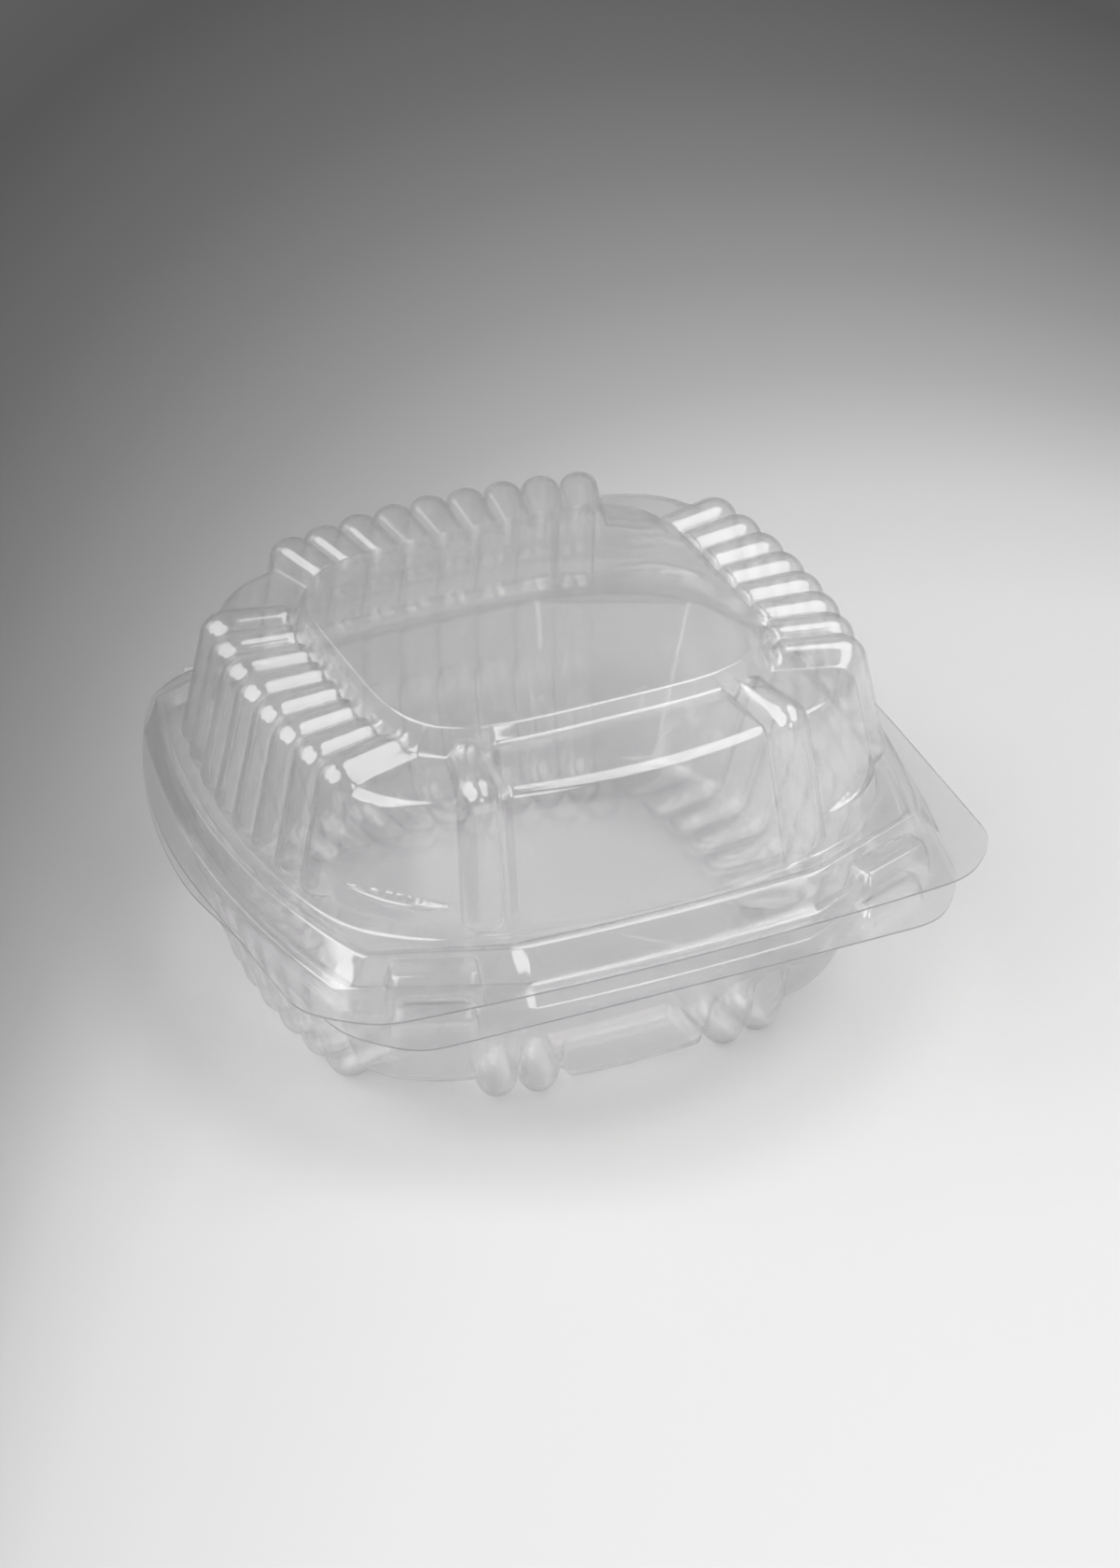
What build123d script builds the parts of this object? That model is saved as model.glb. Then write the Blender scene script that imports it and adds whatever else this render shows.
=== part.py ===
"""Clear thermoformed clamshell pack: a ribbed tray and a ribbed lid, folded from one sheet.

Millimetres, +Z up, front edge towards -Y, hinge along the back edge, feet on Z = 0.
Outlines are described by a quarter: the half width and half depth at the middle of the bowed sides, and
where the side and the front stop at each cut corner.
"""
import os
from math import cos, degrees, radians, sin, tan
from typing import NamedTuple

from build123d import *

os.makedirs("parts", exist_ok=True)

# Sheet and overall levels
SHEET = 0.4
FLANGE_TOP = 34.0
FLANGE_GAP = 0.3
LID_HEIGHT = 40.4
RIM_HEIGHT = 4.0
FLOOR_LEVEL = 4.0

# Living hinge
HINGE_Y = 69.9
HINGE_HALF_LENGTH = 48.0
HINGE_ROLL_RADIUS = 0.6
HINGE_CLEARANCE = 0.35
AJAR_ANGLE = 2.5

# Lid levels above the underside of its flange
BEAD_HEIGHT = 7.4
MOAT_HEIGHT = 5.4
CORNER_SHELF_HEIGHT = 34.8

SHOULDER_ROUND = 5.0
FLOOR_ROUND = 5.0

# Ribs: half-round, side by side, fanned about a centre behind the opposite wall
RIB_RADIUS = 3.4
RIB_BEND = 4.6
RIB_SINK = 0.5
RIB_BELOW_PLATFORM = 0.6
FOOT_FLAT = 0.15
RIB_PITCH_ANGLE = degrees(0.07)
SIDE_RIBS = 8
BACK_RIBS = 9
SIDE_FAN_RADIUS = 64.0
BACK_FAN_RADIUS = 63.0
LID_RIB_BOTTOM = 9.2
BASE_RIB_TOP = 27.0
RIB_START_SIDE = 38.0
RIB_START_BACK = 33.0

# Lid front ribs, either side of the smooth panel
FRONT_RIB_RADIUS = 4.1
FRONT_RIB_ANGLE = 13.4
FRONT_RIB_FAN_RADIUS = 91.7
FRONT_RIB_DROP = 2.6

# Lid front panel, its top sloping down to the front
PANEL_BACK_HALF = 25.4
PANEL_FRONT_HALF = 29.0
PANEL_FOOT_HALF = 31.0
PANEL_BACK_Y = 30.0
PANEL_PROUD = 0.9
PANEL_HEIGHT = 38.2
PANEL_HIGH_Y = 37.5
PANEL_SLOPE = 11.0
PANEL_EDGE_SLOPE = 50.0
PANEL_EDGE_EASE = 1.3

# Crescent lugs low on the four corners of the lid
LUG_LEVEL = 11.5
LUG_HEIGHT = 2.8
LUG_RADIUS = 10.0
LUG_PROUD = 1.8
LUG_ROUND = 1.0

# Base front feet, in two pairs
FOOT_RIB_X = (20.5, 29.1)
FOOT_RIB_START = 36.0
FOOT_RIB_TOP = 16.0

# Base front panel between the feet
BASE_PANEL_HALF = 15.6
BASE_PANEL_BACK_Y = 38.0
BASE_PANEL_LOW = 2.0
BASE_PANEL_TOP = 13.5

# Snap buttons in the cut front corners
BUTTON_X = 48.8
BUTTON_Y = 62.6
BUTTON_ANGLE = 20.5
BUTTON_LENGTH = 20.0
BUTTON_WIDTH = 9.4
BUTTON_HEIGHT = 6.7
BUTTON_ROUND = 1.8
BUTTON_DRAFT = 11.0

# Fit of the base rim inside the lid bead
RIM_CLEARANCE = 0.5
RIM_WIDTH = 1.6
BUTTON_TOP_CLEARANCE = 1.2


class Outline(NamedTuple):
    """A bowed rectangle with cut corners: middles of its sides, ends of its sides, corner rounding."""

    half_x: float
    half_y: float
    side_x: float
    side_y: float
    end_x: float
    end_y: float
    corner: float

    def inset(self, gap: float) -> "Outline":
        """The same outline moved inwards by a gap, or outwards by a negative one."""
        sizes = [size - gap for size in self[:6]]
        return Outline(*sizes, max(self.corner - gap, 0.5))


# Lid outlines, from the platform outwards
PLATFORM_TOP = Outline(40.2, 35.8, 36.6, 26.0, 28.5, 32.0, 7.0)
PLATFORM_FOOT = Outline(42.0, 37.6, 38.2, 27.3, 29.8, 33.6, 7.6)
LID_SHELF = Outline(58.4, 52.5, 52.3, 37.5, 45.5, 43.8, 9.0)
LID_FOOT = Outline(65.0, 60.0, 58.4, 41.0, 49.0, 50.5, 9.0)
MOAT_FLOOR = Outline(67.4, 62.0, 58.4, 50.8, 33.2, 60.6, 2.0)
BEAD_INNER = Outline(68.3, 62.7, 59.1, 52.2, 33.5, 61.5, 2.0)
BEAD_TOP = Outline(69.7, 64.0, 60.2, 53.3, 33.8, 62.8, 2.0)
BEAD_FOOT = Outline(71.9, 67.6, 63.4, 52.9, 31.4, 66.8, 2.0)

# Base outline at the floor
BASE_FLOOR = Outline(57.5, 51.0, 51.5, 36.5, 44.8, 42.6, 8.0)

# Flange edges, right half: middle of the front, then the front tab, the side and the back corner
FLANGE_FRONT_Y = 70.5
FLANGE_BACK_CORNER = (58.0, 62.5)
FLANGE_SIDE = (73.4, 22.5)
LID_TAB_FRONT = (65.0, -67.4)
LID_TAB_SIDE = (75.0, -57.0)
LID_WIDEST = (76.2, -12.0)
BASE_TAB_FRONT = (57.5, -70.1)
BASE_TAB_SIDE = (66.8, -59.0)
BASE_WIDEST = (76.0, -4.0)
TAB_ROUND = 6.0

# Levels that follow from the sizes above
LID_BOTTOM = FLANGE_TOP + FLANGE_GAP
LID_TOP = LID_BOTTOM + LID_HEIGHT
BEAD_LEVEL = LID_BOTTOM + BEAD_HEIGHT
MOAT_LEVEL = LID_BOTTOM + MOAT_HEIGHT
SHELF_LEVEL = LID_BOTTOM + CORNER_SHELF_HEIGHT
PANEL_LEVEL = LID_BOTTOM + PANEL_HEIGHT
LUG_Z = LID_BOTTOM + LUG_LEVEL
RIM_LEVEL = FLANGE_TOP + RIM_HEIGHT
HINGE_Z = FLANGE_TOP + FLANGE_GAP / 2
LID_RIB_AXIS = LID_TOP - RIB_RADIUS - RIB_BELOW_PLATFORM
BASE_RIB_AXIS = RIB_RADIUS - FOOT_FLAT
HINGE_AXIS = Axis((0, HINGE_Y, HINGE_Z), (-1, 0, 0))
BELOW = 1.0


def outline_face(shape: Outline) -> Sketch:
    """The face inside an outline, on the ground plane."""
    with BuildSketch(mode=Mode.PRIVATE) as sketch:
        with BuildLine():
            ThreePointArc((shape.side_x, shape.side_y), (shape.half_x, 0), (shape.side_x, -shape.side_y))
            Line((shape.side_x, -shape.side_y), (shape.end_x, -shape.end_y))
            ThreePointArc((shape.end_x, -shape.end_y), (0, -shape.half_y), (-shape.end_x, -shape.end_y))
            Line((-shape.end_x, -shape.end_y), (-shape.side_x, -shape.side_y))
            ThreePointArc((-shape.side_x, -shape.side_y), (-shape.half_x, 0), (-shape.side_x, shape.side_y))
            Line((-shape.side_x, shape.side_y), (-shape.end_x, shape.end_y))
            ThreePointArc((-shape.end_x, shape.end_y), (0, shape.half_y), (shape.end_x, shape.end_y))
            Line((shape.end_x, shape.end_y), (shape.side_x, shape.side_y))
        make_face()
        fillet(sketch.vertices(), shape.corner)
    return sketch.sketch


def stack(*rings: tuple, mode: Mode = Mode.ADD) -> None:
    """Loft straight walls through outlines given with their levels, in the current part."""
    faces = []
    for shape, level in rings:
        with BuildSketch(Plane.XY.offset(level)) as ring:
            add(outline_face(shape))
        faces.append(ring.sketch)
    loft(sections=faces, ruled=True, mode=mode)


def eased(wall, edge: Outline, level: float, size: float, way: int) -> list:
    """Rings that ease a wall into a flat end: the wall below the edge, a step between, and the flat."""
    step = size * (1 - cos(radians(45)))
    return [
        (wall(level - way * size), level - way * size),
        (wall(level - way * step).inset(step), level - way * step),
        (edge.inset(size), level),
    ]


def between(lower: Outline, low: float, upper: Outline, high: float, level: float) -> Outline:
    """The outline at a level on the straight wall between two others."""
    share = (level - low) / (high - low)
    return Outline(*[a + (b - a) * share for a, b in zip(lower, upper)])


# Base rim outlines, taken from the lid bead that fits over them
RIM_GAP = SHEET + RIM_CLEARANCE
RIM_FOOT = between(BEAD_FOOT, LID_BOTTOM, BEAD_TOP, BEAD_LEVEL, FLANGE_TOP).inset(RIM_GAP)
RIM_TOP = between(BEAD_FOOT, LID_BOTTOM, BEAD_TOP, BEAD_LEVEL, RIM_LEVEL).inset(RIM_GAP)
RIM_INNER = RIM_TOP.inset(RIM_WIDTH)


def lid_wall(skin: float):
    """The lid's wall outline as a function of level."""
    return lambda level: between(LID_FOOT, MOAT_LEVEL, LID_SHELF, SHELF_LEVEL, level).inset(skin)


def tray_wall(skin: float):
    """The tray's wall outline as a function of level."""
    return lambda level: between(BASE_FLOOR, FLOOR_LEVEL, RIM_INNER, RIM_LEVEL, level).inset(skin)


def rib(start: tuple, bend: tuple, stop: tuple, radius: float, turn: float, centre: tuple) -> Part:
    """One round rib along a bent path given as (distance, level) from a fan centre, heading along turn."""
    out = Vector(cos(turn), sin(turn), 0)
    up = Vector(0, 0, 1)
    points = [Vector(centre[0], centre[1], 0) + out * p[0] + up * p[1] for p in (start, bend, stop)]
    first = (points[1] - points[0]).normalized()
    second = (points[2] - points[1]).normalized()
    angle = first.get_angle(second)
    reach = RIB_BEND * tan(radians(angle / 2))
    leave = points[1] - first * reach
    join = points[1] + second * reach
    across = first.cross(second).normalized()
    hub = leave + across.cross(first) * RIB_BEND
    with BuildPart() as piece:
        with BuildSketch(Plane(origin=points[0], z_dir=first)):
            Circle(radius)
        extrude(amount=(leave - points[0]).length)
        with BuildSketch(Plane(origin=leave, z_dir=first)):
            Circle(radius)
        revolve(axis=Axis(hub, across), revolution_arc=angle)
        with BuildSketch(Plane(origin=join, z_dir=second)):
            Circle(radius)
        extrude(amount=(points[2] - join).length)
    return piece.part


def fan(count: int, centre: tuple, heading: float, path: tuple, radius: float) -> list:
    """A row of ribs fanned evenly about a heading."""
    pitches = [index - (count - 1) / 2 for index in range(count)]
    return [rib(*path, radius, radians(heading + pitch * RIB_PITCH_ANGLE), centre) for pitch in pitches]


def lid_rib_paths(skin: float) -> tuple:
    """Paths of a side rib and of a back rib of the lid, as distances from their fan centres."""
    axis = LID_RIB_AXIS
    stop = LID_BOTTOM + LID_RIB_BOTTOM + skin
    shelf = between(LID_FOOT, MOAT_LEVEL, LID_SHELF, SHELF_LEVEL, axis)
    foot = between(LID_FOOT, MOAT_LEVEL, LID_SHELF, SHELF_LEVEL, stop)
    side = [SIDE_FAN_RADIUS + x for x in (RIB_START_SIDE + skin, shelf.half_x - RIB_SINK, foot.half_x - RIB_SINK)]
    back = [BACK_FAN_RADIUS + y for y in (RIB_START_BACK + skin, shelf.half_y - RIB_SINK, foot.half_y - RIB_SINK)]
    levels = (axis, axis, stop)
    return tuple(zip(side, levels)), tuple(zip(back, levels))


def base_rib_paths(skin: float) -> tuple:
    """Paths of a side rib and of a back rib of the base, as distances from their fan centres."""
    axis = BASE_RIB_AXIS
    stop = BASE_RIB_TOP - skin
    floor = between(BASE_FLOOR, FLOOR_LEVEL, RIM_INNER, RIM_LEVEL, axis)
    top = between(BASE_FLOOR, FLOOR_LEVEL, RIM_INNER, RIM_LEVEL, stop)
    side = [SIDE_FAN_RADIUS + x for x in (RIB_START_SIDE + skin, floor.half_x - RIB_SINK, top.half_x - RIB_SINK)]
    back = [BACK_FAN_RADIUS + y for y in (RIB_START_BACK + skin, floor.half_y - RIB_SINK, top.half_y - RIB_SINK)]
    levels = (axis, axis, stop)
    return tuple(zip(side, levels)), tuple(zip(back, levels))


def all_fans(paths: tuple, radius: float) -> list:
    """The rib rows of the two sides and the back."""
    side_path, back_path = paths
    right = fan(SIDE_RIBS, (-SIDE_FAN_RADIUS, 0), 0, side_path, radius)
    left = fan(SIDE_RIBS, (SIDE_FAN_RADIUS, 0), 180, side_path, radius)
    back = fan(BACK_RIBS, (0, -BACK_FAN_RADIUS), 90, back_path, radius)
    return right + left + back


def panel_block(wall, low: float, high: float, halves: tuple, back_y: float, proud: float) -> Part:
    """A block that stands proud of a bowed front wall; halves are its half widths low, high and at the back."""
    low_half, high_half, back_half = halves
    ends = []
    for level, half, back in ((low, low_half, low_half), (high, high_half, back_half)):
        ring = wall(level)
        bow = (ring.half_y - ring.end_y) * (half / ring.end_x) ** 2
        front = -ring.half_y - proud
        with BuildSketch(Plane.XY.offset(level)) as end:
            with BuildLine():
                Polyline((-half, front + bow), (-back, -back_y), (back, -back_y), (half, front + bow))
                ThreePointArc((half, front + bow), (0, front), (-half, front + bow))
            make_face()
        ends.append(end.sketch)
    with BuildPart() as block:
        loft(sections=ends, ruled=True)
    return block.part


def lid_panel(skin: float) -> Part:
    """The lid's smooth front panel, its top cut to a slope and its front edge eased."""
    halves = (PANEL_FOOT_HALF - skin, PANEL_FRONT_HALF - skin, PANEL_BACK_HALF - skin)
    low = MOAT_LEVEL - skin
    block = panel_block(lid_wall(skin), low, PANEL_LEVEL + BELOW, halves, PANEL_BACK_Y, PANEL_PROUD)
    front_y = lid_wall(0)(PANEL_LEVEL).half_y + PANEL_PROUD
    front_z = PANEL_LEVEL - (front_y - PANEL_HIGH_Y) * tan(radians(PANEL_SLOPE))
    flat = Plane(origin=(0, -PANEL_HIGH_Y, PANEL_LEVEL), z_dir=(0, 0, 1)).rotated((PANEL_SLOPE, 0, 0))
    edge = Plane(origin=(0, -front_y, front_z), z_dir=(0, 0, 1)).rotated((PANEL_EDGE_SLOPE, 0, 0))
    with BuildPart() as panel:
        add(block)
        split(bisect_by=flat.offset(-skin), keep=Keep.BOTTOM)
        split(bisect_by=edge.offset(-PANEL_EDGE_EASE - skin), keep=Keep.BOTTOM)
    return panel.part


def lug(corner: tuple, skin: float) -> Part:
    """One crescent lug: a round-edged disc that pokes out of a corner of the wall."""
    ring = lid_wall(skin)(LUG_Z)
    out = Vector(ring.end_y - ring.side_y, ring.side_x - ring.end_x).normalized()
    spot = Vector((ring.side_x + ring.end_x) / 2, (ring.side_y + ring.end_y) / 2) - out * (LUG_RADIUS - skin - LUG_PROUD)
    with BuildPart() as disc:
        with Locations((corner[0] * spot.X, corner[1] * spot.Y, LUG_Z)):
            Cylinder(LUG_RADIUS - skin, LUG_HEIGHT - 2 * skin)
        fillet(disc.edges().filter_by(GeomType.CIRCLE), LUG_ROUND - skin / 2)
    return disc.part


def lid_front(skin: float) -> list:
    """The two ribs beside the lid's front panel."""
    axis = LID_TOP - FRONT_RIB_DROP - FRONT_RIB_RADIUS
    stop = MOAT_LEVEL + skin
    reach = 1 / cos(radians(FRONT_RIB_ANGLE))
    shelf = between(LID_FOOT, MOAT_LEVEL, LID_SHELF, SHELF_LEVEL, axis)
    foot = between(LID_FOOT, MOAT_LEVEL, LID_SHELF, SHELF_LEVEL, stop)
    side_drop = LID_SHELF.half_y - LID_SHELF.end_y
    distances = (RIB_START_BACK + skin, shelf.half_y - side_drop / 3, foot.half_y - side_drop / 3)
    path = tuple(zip([(FRONT_RIB_FAN_RADIUS + y) * reach for y in distances], (axis, axis, stop)))
    turns = [radians(-90 + side * FRONT_RIB_ANGLE) for side in (-1, 1)]
    return [rib(*path, FRONT_RIB_RADIUS - skin, turn, (0, FRONT_RIB_FAN_RADIUS)) for turn in turns]


def base_feet(skin: float) -> list:
    """The four short ribs that are the front feet of the base."""
    feet = []
    axis = BASE_RIB_AXIS
    stop = FOOT_RIB_TOP - skin
    floor = between(BASE_FLOOR, FLOOR_LEVEL, RIM_INNER, RIM_LEVEL, axis)
    top = between(BASE_FLOOR, FLOOR_LEVEL, RIM_INNER, RIM_LEVEL, stop)
    for x in FOOT_RIB_X:
        bow = (BASE_FLOOR.half_y - BASE_FLOOR.end_y) * (x / BASE_FLOOR.end_x) ** 2
        distances = (FOOT_RIB_START + skin, floor.half_y - bow - RIB_SINK, top.half_y - bow - RIB_SINK)
        path = tuple(zip(distances, (axis, axis, stop)))
        feet += [rib(*path, RIB_RADIUS - skin, radians(-90), (side * x, 0)) for side in (-1, 1)]
    return feet


def button(side: int, level: float, height: float, skin: float) -> None:
    """One snap button, a rounded bar of the sheet in a cut front corner."""
    spot = Plane(origin=(side * BUTTON_X, -BUTTON_Y, level), z_dir=(0, 0, 1)).rotated((0, 0, side * BUTTON_ANGLE))
    with BuildSketch(spot) as foot:
        RectangleRounded(BUTTON_LENGTH - 2 * skin, BUTTON_WIDTH - 2 * skin, BUTTON_ROUND)
    extrude(to_extrude=foot.sketch, amount=height, taper=BUTTON_DRAFT)


def flange(level: float, edge: tuple, hinge_y: float) -> None:
    """A flat flange plate one sheet thick, from a level up; its edge is given for the right half."""
    front_mid, tab_front, tab_side, widest, side, corner = edge
    with BuildSketch(Plane.XY.offset(level)) as ring:
        with BuildLine():
            for sign in (1, -1):
                Line((0, hinge_y), (sign * HINGE_HALF_LENGTH, hinge_y))
                Line((sign * HINGE_HALF_LENGTH, hinge_y), (sign * corner[0], corner[1]))
                ThreePointArc((sign * corner[0], corner[1]), (sign * side[0], side[1]), (sign * widest[0], widest[1]))
                Line((sign * widest[0], widest[1]), (sign * tab_side[0], tab_side[1]))
                Line((sign * tab_side[0], tab_side[1]), (sign * tab_front[0], tab_front[1]))
            ThreePointArc((tab_front[0], tab_front[1]), (0, -front_mid), (-tab_front[0], tab_front[1]))
        make_face()
        tabs = [v for v in ring.vertices() if v.Y < tab_side[1] + 1]
        fillet(tabs, TAB_ROUND)
    extrude(to_extrude=ring.sketch, amount=SHEET)


def bead_form(skin: float) -> Part:
    """The lid's bead and snap buttons as a solid block; a skin above zero gives the space under the sheet."""
    low = LID_BOTTOM - (BELOW if skin else 0)
    high = BEAD_LEVEL - skin
    with BuildPart() as form:
        lower = between(BEAD_FOOT, LID_BOTTOM, BEAD_TOP, BEAD_LEVEL, low)
        upper = between(BEAD_FOOT, LID_BOTTOM, BEAD_TOP, BEAD_LEVEL, high)
        stack((lower.inset(skin), low), (upper.inset(skin), high))
        for side in (-1, 1):
            button(side, low, LID_BOTTOM + BUTTON_HEIGHT - skin - low, skin)
    return form.part


def lid_form(skin: float) -> Part:
    """The lid's dome as a solid block; a skin above zero gives the space under the sheet."""
    low = MOAT_LEVEL - SHEET - (BELOW if skin else 0)
    high = SHELF_LEVEL - skin
    ribs = all_fans(lid_rib_paths(skin), RIB_RADIUS - skin) + lid_front(skin)
    lugs = [lug((x, y), skin) for x in (-1, 1) for y in (-1, 1)]
    panel = lid_panel(skin)
    with BuildPart() as form:
        shoulder = eased(lid_wall(skin), LID_SHELF.inset(skin), high, SHOULDER_ROUND - skin, 1)
        stack((lid_wall(skin)(low), low), *shoulder)
        stack((PLATFORM_FOOT.inset(skin), high - 1), (PLATFORM_TOP.inset(skin), LID_TOP - skin))
        add(panel)
        add(lugs)
        add(ribs)
    return form.part


def tray_form(skin: float) -> Part:
    """The tray as a solid block; a skin above zero gives the space inside the sheet."""
    low = FLOOR_LEVEL + skin
    high = RIM_LEVEL + (BELOW if skin else 0)
    halves = (BASE_PANEL_HALF - skin,) * 3
    bottom, top = BASE_PANEL_LOW + skin, BASE_PANEL_TOP - skin
    ribs = all_fans(base_rib_paths(skin), RIB_RADIUS - skin) + base_feet(skin)
    panel = panel_block(tray_wall(skin), bottom, top, halves, BASE_PANEL_BACK_Y, PANEL_PROUD)
    with BuildPart() as form:
        turn_up = eased(tray_wall(skin), BASE_FLOOR.inset(skin), low, FLOOR_ROUND - skin, -1)
        stack(*reversed(turn_up), (tray_wall(skin)(high), high))
        add(panel)
        add(ribs)
        split(bisect_by=Plane.XY.offset(skin), keep=Keep.TOP)
    return form.part


def rim_form(skin: float) -> Part:
    """The base's rim and snap buttons as a solid block; a skin above zero gives the space under the sheet."""
    low = FLANGE_TOP - SHEET - (BELOW if skin else 0)
    high = RIM_LEVEL - skin
    with BuildPart() as form:
        lower = between(RIM_FOOT, FLANGE_TOP, RIM_TOP, RIM_LEVEL, low)
        upper = between(RIM_FOOT, FLANGE_TOP, RIM_TOP, RIM_LEVEL, high)
        stack((lower.inset(skin), low), (upper.inset(skin), high))
        top = LID_BOTTOM + BUTTON_HEIGHT - SHEET - BUTTON_TOP_CLEARANCE
        for side in (-1, 1):
            button(side, low, top - skin - low, RIM_GAP + skin)
    return form.part


rim_block = rim_form(0)
rim_hollow = rim_form(SHEET)
tray_block = tray_form(0)
tray_hollow = tray_form(SHEET)
bead_block = bead_form(0)
bead_hollow = bead_form(SHEET)
dome_block = lid_form(0)
dome_hollow = lid_form(SHEET)

with BuildPart() as base_tray:
    flange(
        FLANGE_TOP - SHEET,
        (FLANGE_FRONT_Y, BASE_TAB_FRONT, BASE_TAB_SIDE, BASE_WIDEST, FLANGE_SIDE, FLANGE_BACK_CORNER),
        HINGE_Y,
    )
    with Locations(Location((0, HINGE_Y, HINGE_Z), (0, 90, 0))):
        Cylinder(HINGE_ROLL_RADIUS, 2 * (HINGE_HALF_LENGTH - HINGE_ROLL_RADIUS))
    add(rim_block)
    add(rim_hollow, mode=Mode.SUBTRACT)
    add(tray_block)
    add(tray_hollow, mode=Mode.SUBTRACT)

with BuildPart() as lid:
    flange(
        LID_BOTTOM,
        (FLANGE_FRONT_Y, LID_TAB_FRONT, LID_TAB_SIDE, LID_WIDEST, FLANGE_SIDE, FLANGE_BACK_CORNER),
        HINGE_Y - HINGE_ROLL_RADIUS - HINGE_CLEARANCE,
    )
    add(bead_block)
    add(bead_hollow, mode=Mode.SUBTRACT)
    stack((MOAT_FLOOR.inset(-SHEET), MOAT_LEVEL - SHEET), (BEAD_INNER.inset(-SHEET), BEAD_LEVEL))
    over = between(MOAT_FLOOR, MOAT_LEVEL, BEAD_INNER, BEAD_LEVEL, BEAD_LEVEL + BELOW)
    stack((MOAT_FLOOR, MOAT_LEVEL), (over, BEAD_LEVEL + BELOW), mode=Mode.SUBTRACT)
    add(dome_block)
    add(dome_hollow, mode=Mode.SUBTRACT)

lid_ajar = lid.part.rotate(HINGE_AXIS, AJAR_ANGLE)

base_tray.part.label = "base_tray"
export_step(base_tray.part, "parts/base_tray.step")
lid_ajar.label = "lid"
export_step(lid_ajar, "parts/lid.step")
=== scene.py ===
"""Clear thermoformed clamshell pack: two ribbed shells formed from one sheet, on a living hinge.

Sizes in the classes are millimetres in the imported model's frame: X to the right, Y to the hinge, Z up.
"""
import logging
from dataclasses import dataclass, field, fields, replace
from enum import Enum
from typing import Callable

import bpy
import numpy as np
from mathutils import Matrix, Vector


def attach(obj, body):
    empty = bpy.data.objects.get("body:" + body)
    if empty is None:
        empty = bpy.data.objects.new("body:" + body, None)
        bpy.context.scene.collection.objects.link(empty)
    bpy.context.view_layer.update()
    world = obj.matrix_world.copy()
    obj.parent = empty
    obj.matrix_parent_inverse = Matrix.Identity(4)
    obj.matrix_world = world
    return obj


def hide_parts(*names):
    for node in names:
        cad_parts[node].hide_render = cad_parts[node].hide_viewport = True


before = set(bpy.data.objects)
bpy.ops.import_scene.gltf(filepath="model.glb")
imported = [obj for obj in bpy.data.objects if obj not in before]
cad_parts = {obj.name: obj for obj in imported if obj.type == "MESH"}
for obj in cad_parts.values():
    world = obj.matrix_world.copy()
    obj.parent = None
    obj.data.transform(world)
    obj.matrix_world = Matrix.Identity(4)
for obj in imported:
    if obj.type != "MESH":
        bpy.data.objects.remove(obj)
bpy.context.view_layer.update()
LOG = logging.getLogger("clamshell")
MM = 0.001

SHEET = 0.4
FLANGE_TOP = 34.0
LID_BOTTOM = 34.3
HINGE_Y = 69.9
HINGE_Z = 34.15
HINGE_HALF = 47.4
HINGE_ROLL = 0.6
AJAR = np.radians(2.5)
CREASE = np.radians(42.0)
BEAD_LEVEL = 7.4
FOLD_STEPS = 16
TINY = 1e-12
NOWHERE = -1e9

Point = tuple[float, float]
Turn = Callable[[np.ndarray], np.ndarray]


class Body(Enum):
    """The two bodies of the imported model."""

    TRAY = "tray_body"
    LID = "lid_body"


# Plan curves

def resample(points: np.ndarray, count: int = 2400) -> np.ndarray:
    """Even points along a closed line.

    Args:
        points: corner points of the closed line, in order.
        count: how many points to return.

    Returns:
        The even points, as rows of x and y.
    """
    closed = np.vstack([points, points[:1]])
    run = np.concatenate([[0.0], np.cumsum(np.linalg.norm(np.diff(closed, axis=0), axis=1))])
    at = np.linspace(0.0, run[-1], count, endpoint=False)
    return np.column_stack([np.interp(at, run, closed[:, axis]) for axis in (0, 1)])


def soften(loop: np.ndarray, width: float) -> np.ndarray:
    """Round the corners of an evenly sampled closed line.

    Args:
        loop: even points.
        width: length of line over which a corner is spread.

    Returns:
        The rounded points.
    """
    total = np.linalg.norm(np.diff(np.vstack([loop, loop[:1]]), axis=0), axis=1).sum()
    waves = np.fft.fftfreq(len(loop), 1.0 / len(loop))
    keep = np.sinc(waves * width / total) ** 2
    line = np.fft.ifft(np.fft.fft(loop[:, 0] + 1j * loop[:, 1]) * keep)
    return np.column_stack([line.real, line.imag])


def arc(start: Point, middle: Point, stop: Point, count: int = 60) -> np.ndarray:
    """Points of a circular arc.

    Args:
        start: its first point.
        middle: a point that it passes through.
        stop: its end, which is left out.
        count: how many points to return.

    Returns:
        The points, as rows of x and y.
    """
    a, b, c = (complex(*p) for p in (start, middle, stop))
    w = (c - a) / (b - a)
    if abs(w.imag) < 1e-9:
        return np.linspace(start, stop, count, endpoint=False)
    hub = (b - a) * (w - abs(w) ** 2) / (2j * w.imag) + a
    first, mid, last = (np.angle(p - hub) for p in (a, b, c))
    turn = (last - first) % (2 * np.pi)
    if (mid - first) % (2 * np.pi) > turn:
        turn -= 2 * np.pi
    line = hub + abs(a - hub) * np.exp(1j * (first + turn * np.linspace(0, 1, count, endpoint=False)))
    return np.column_stack([line.real, line.imag])


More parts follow.
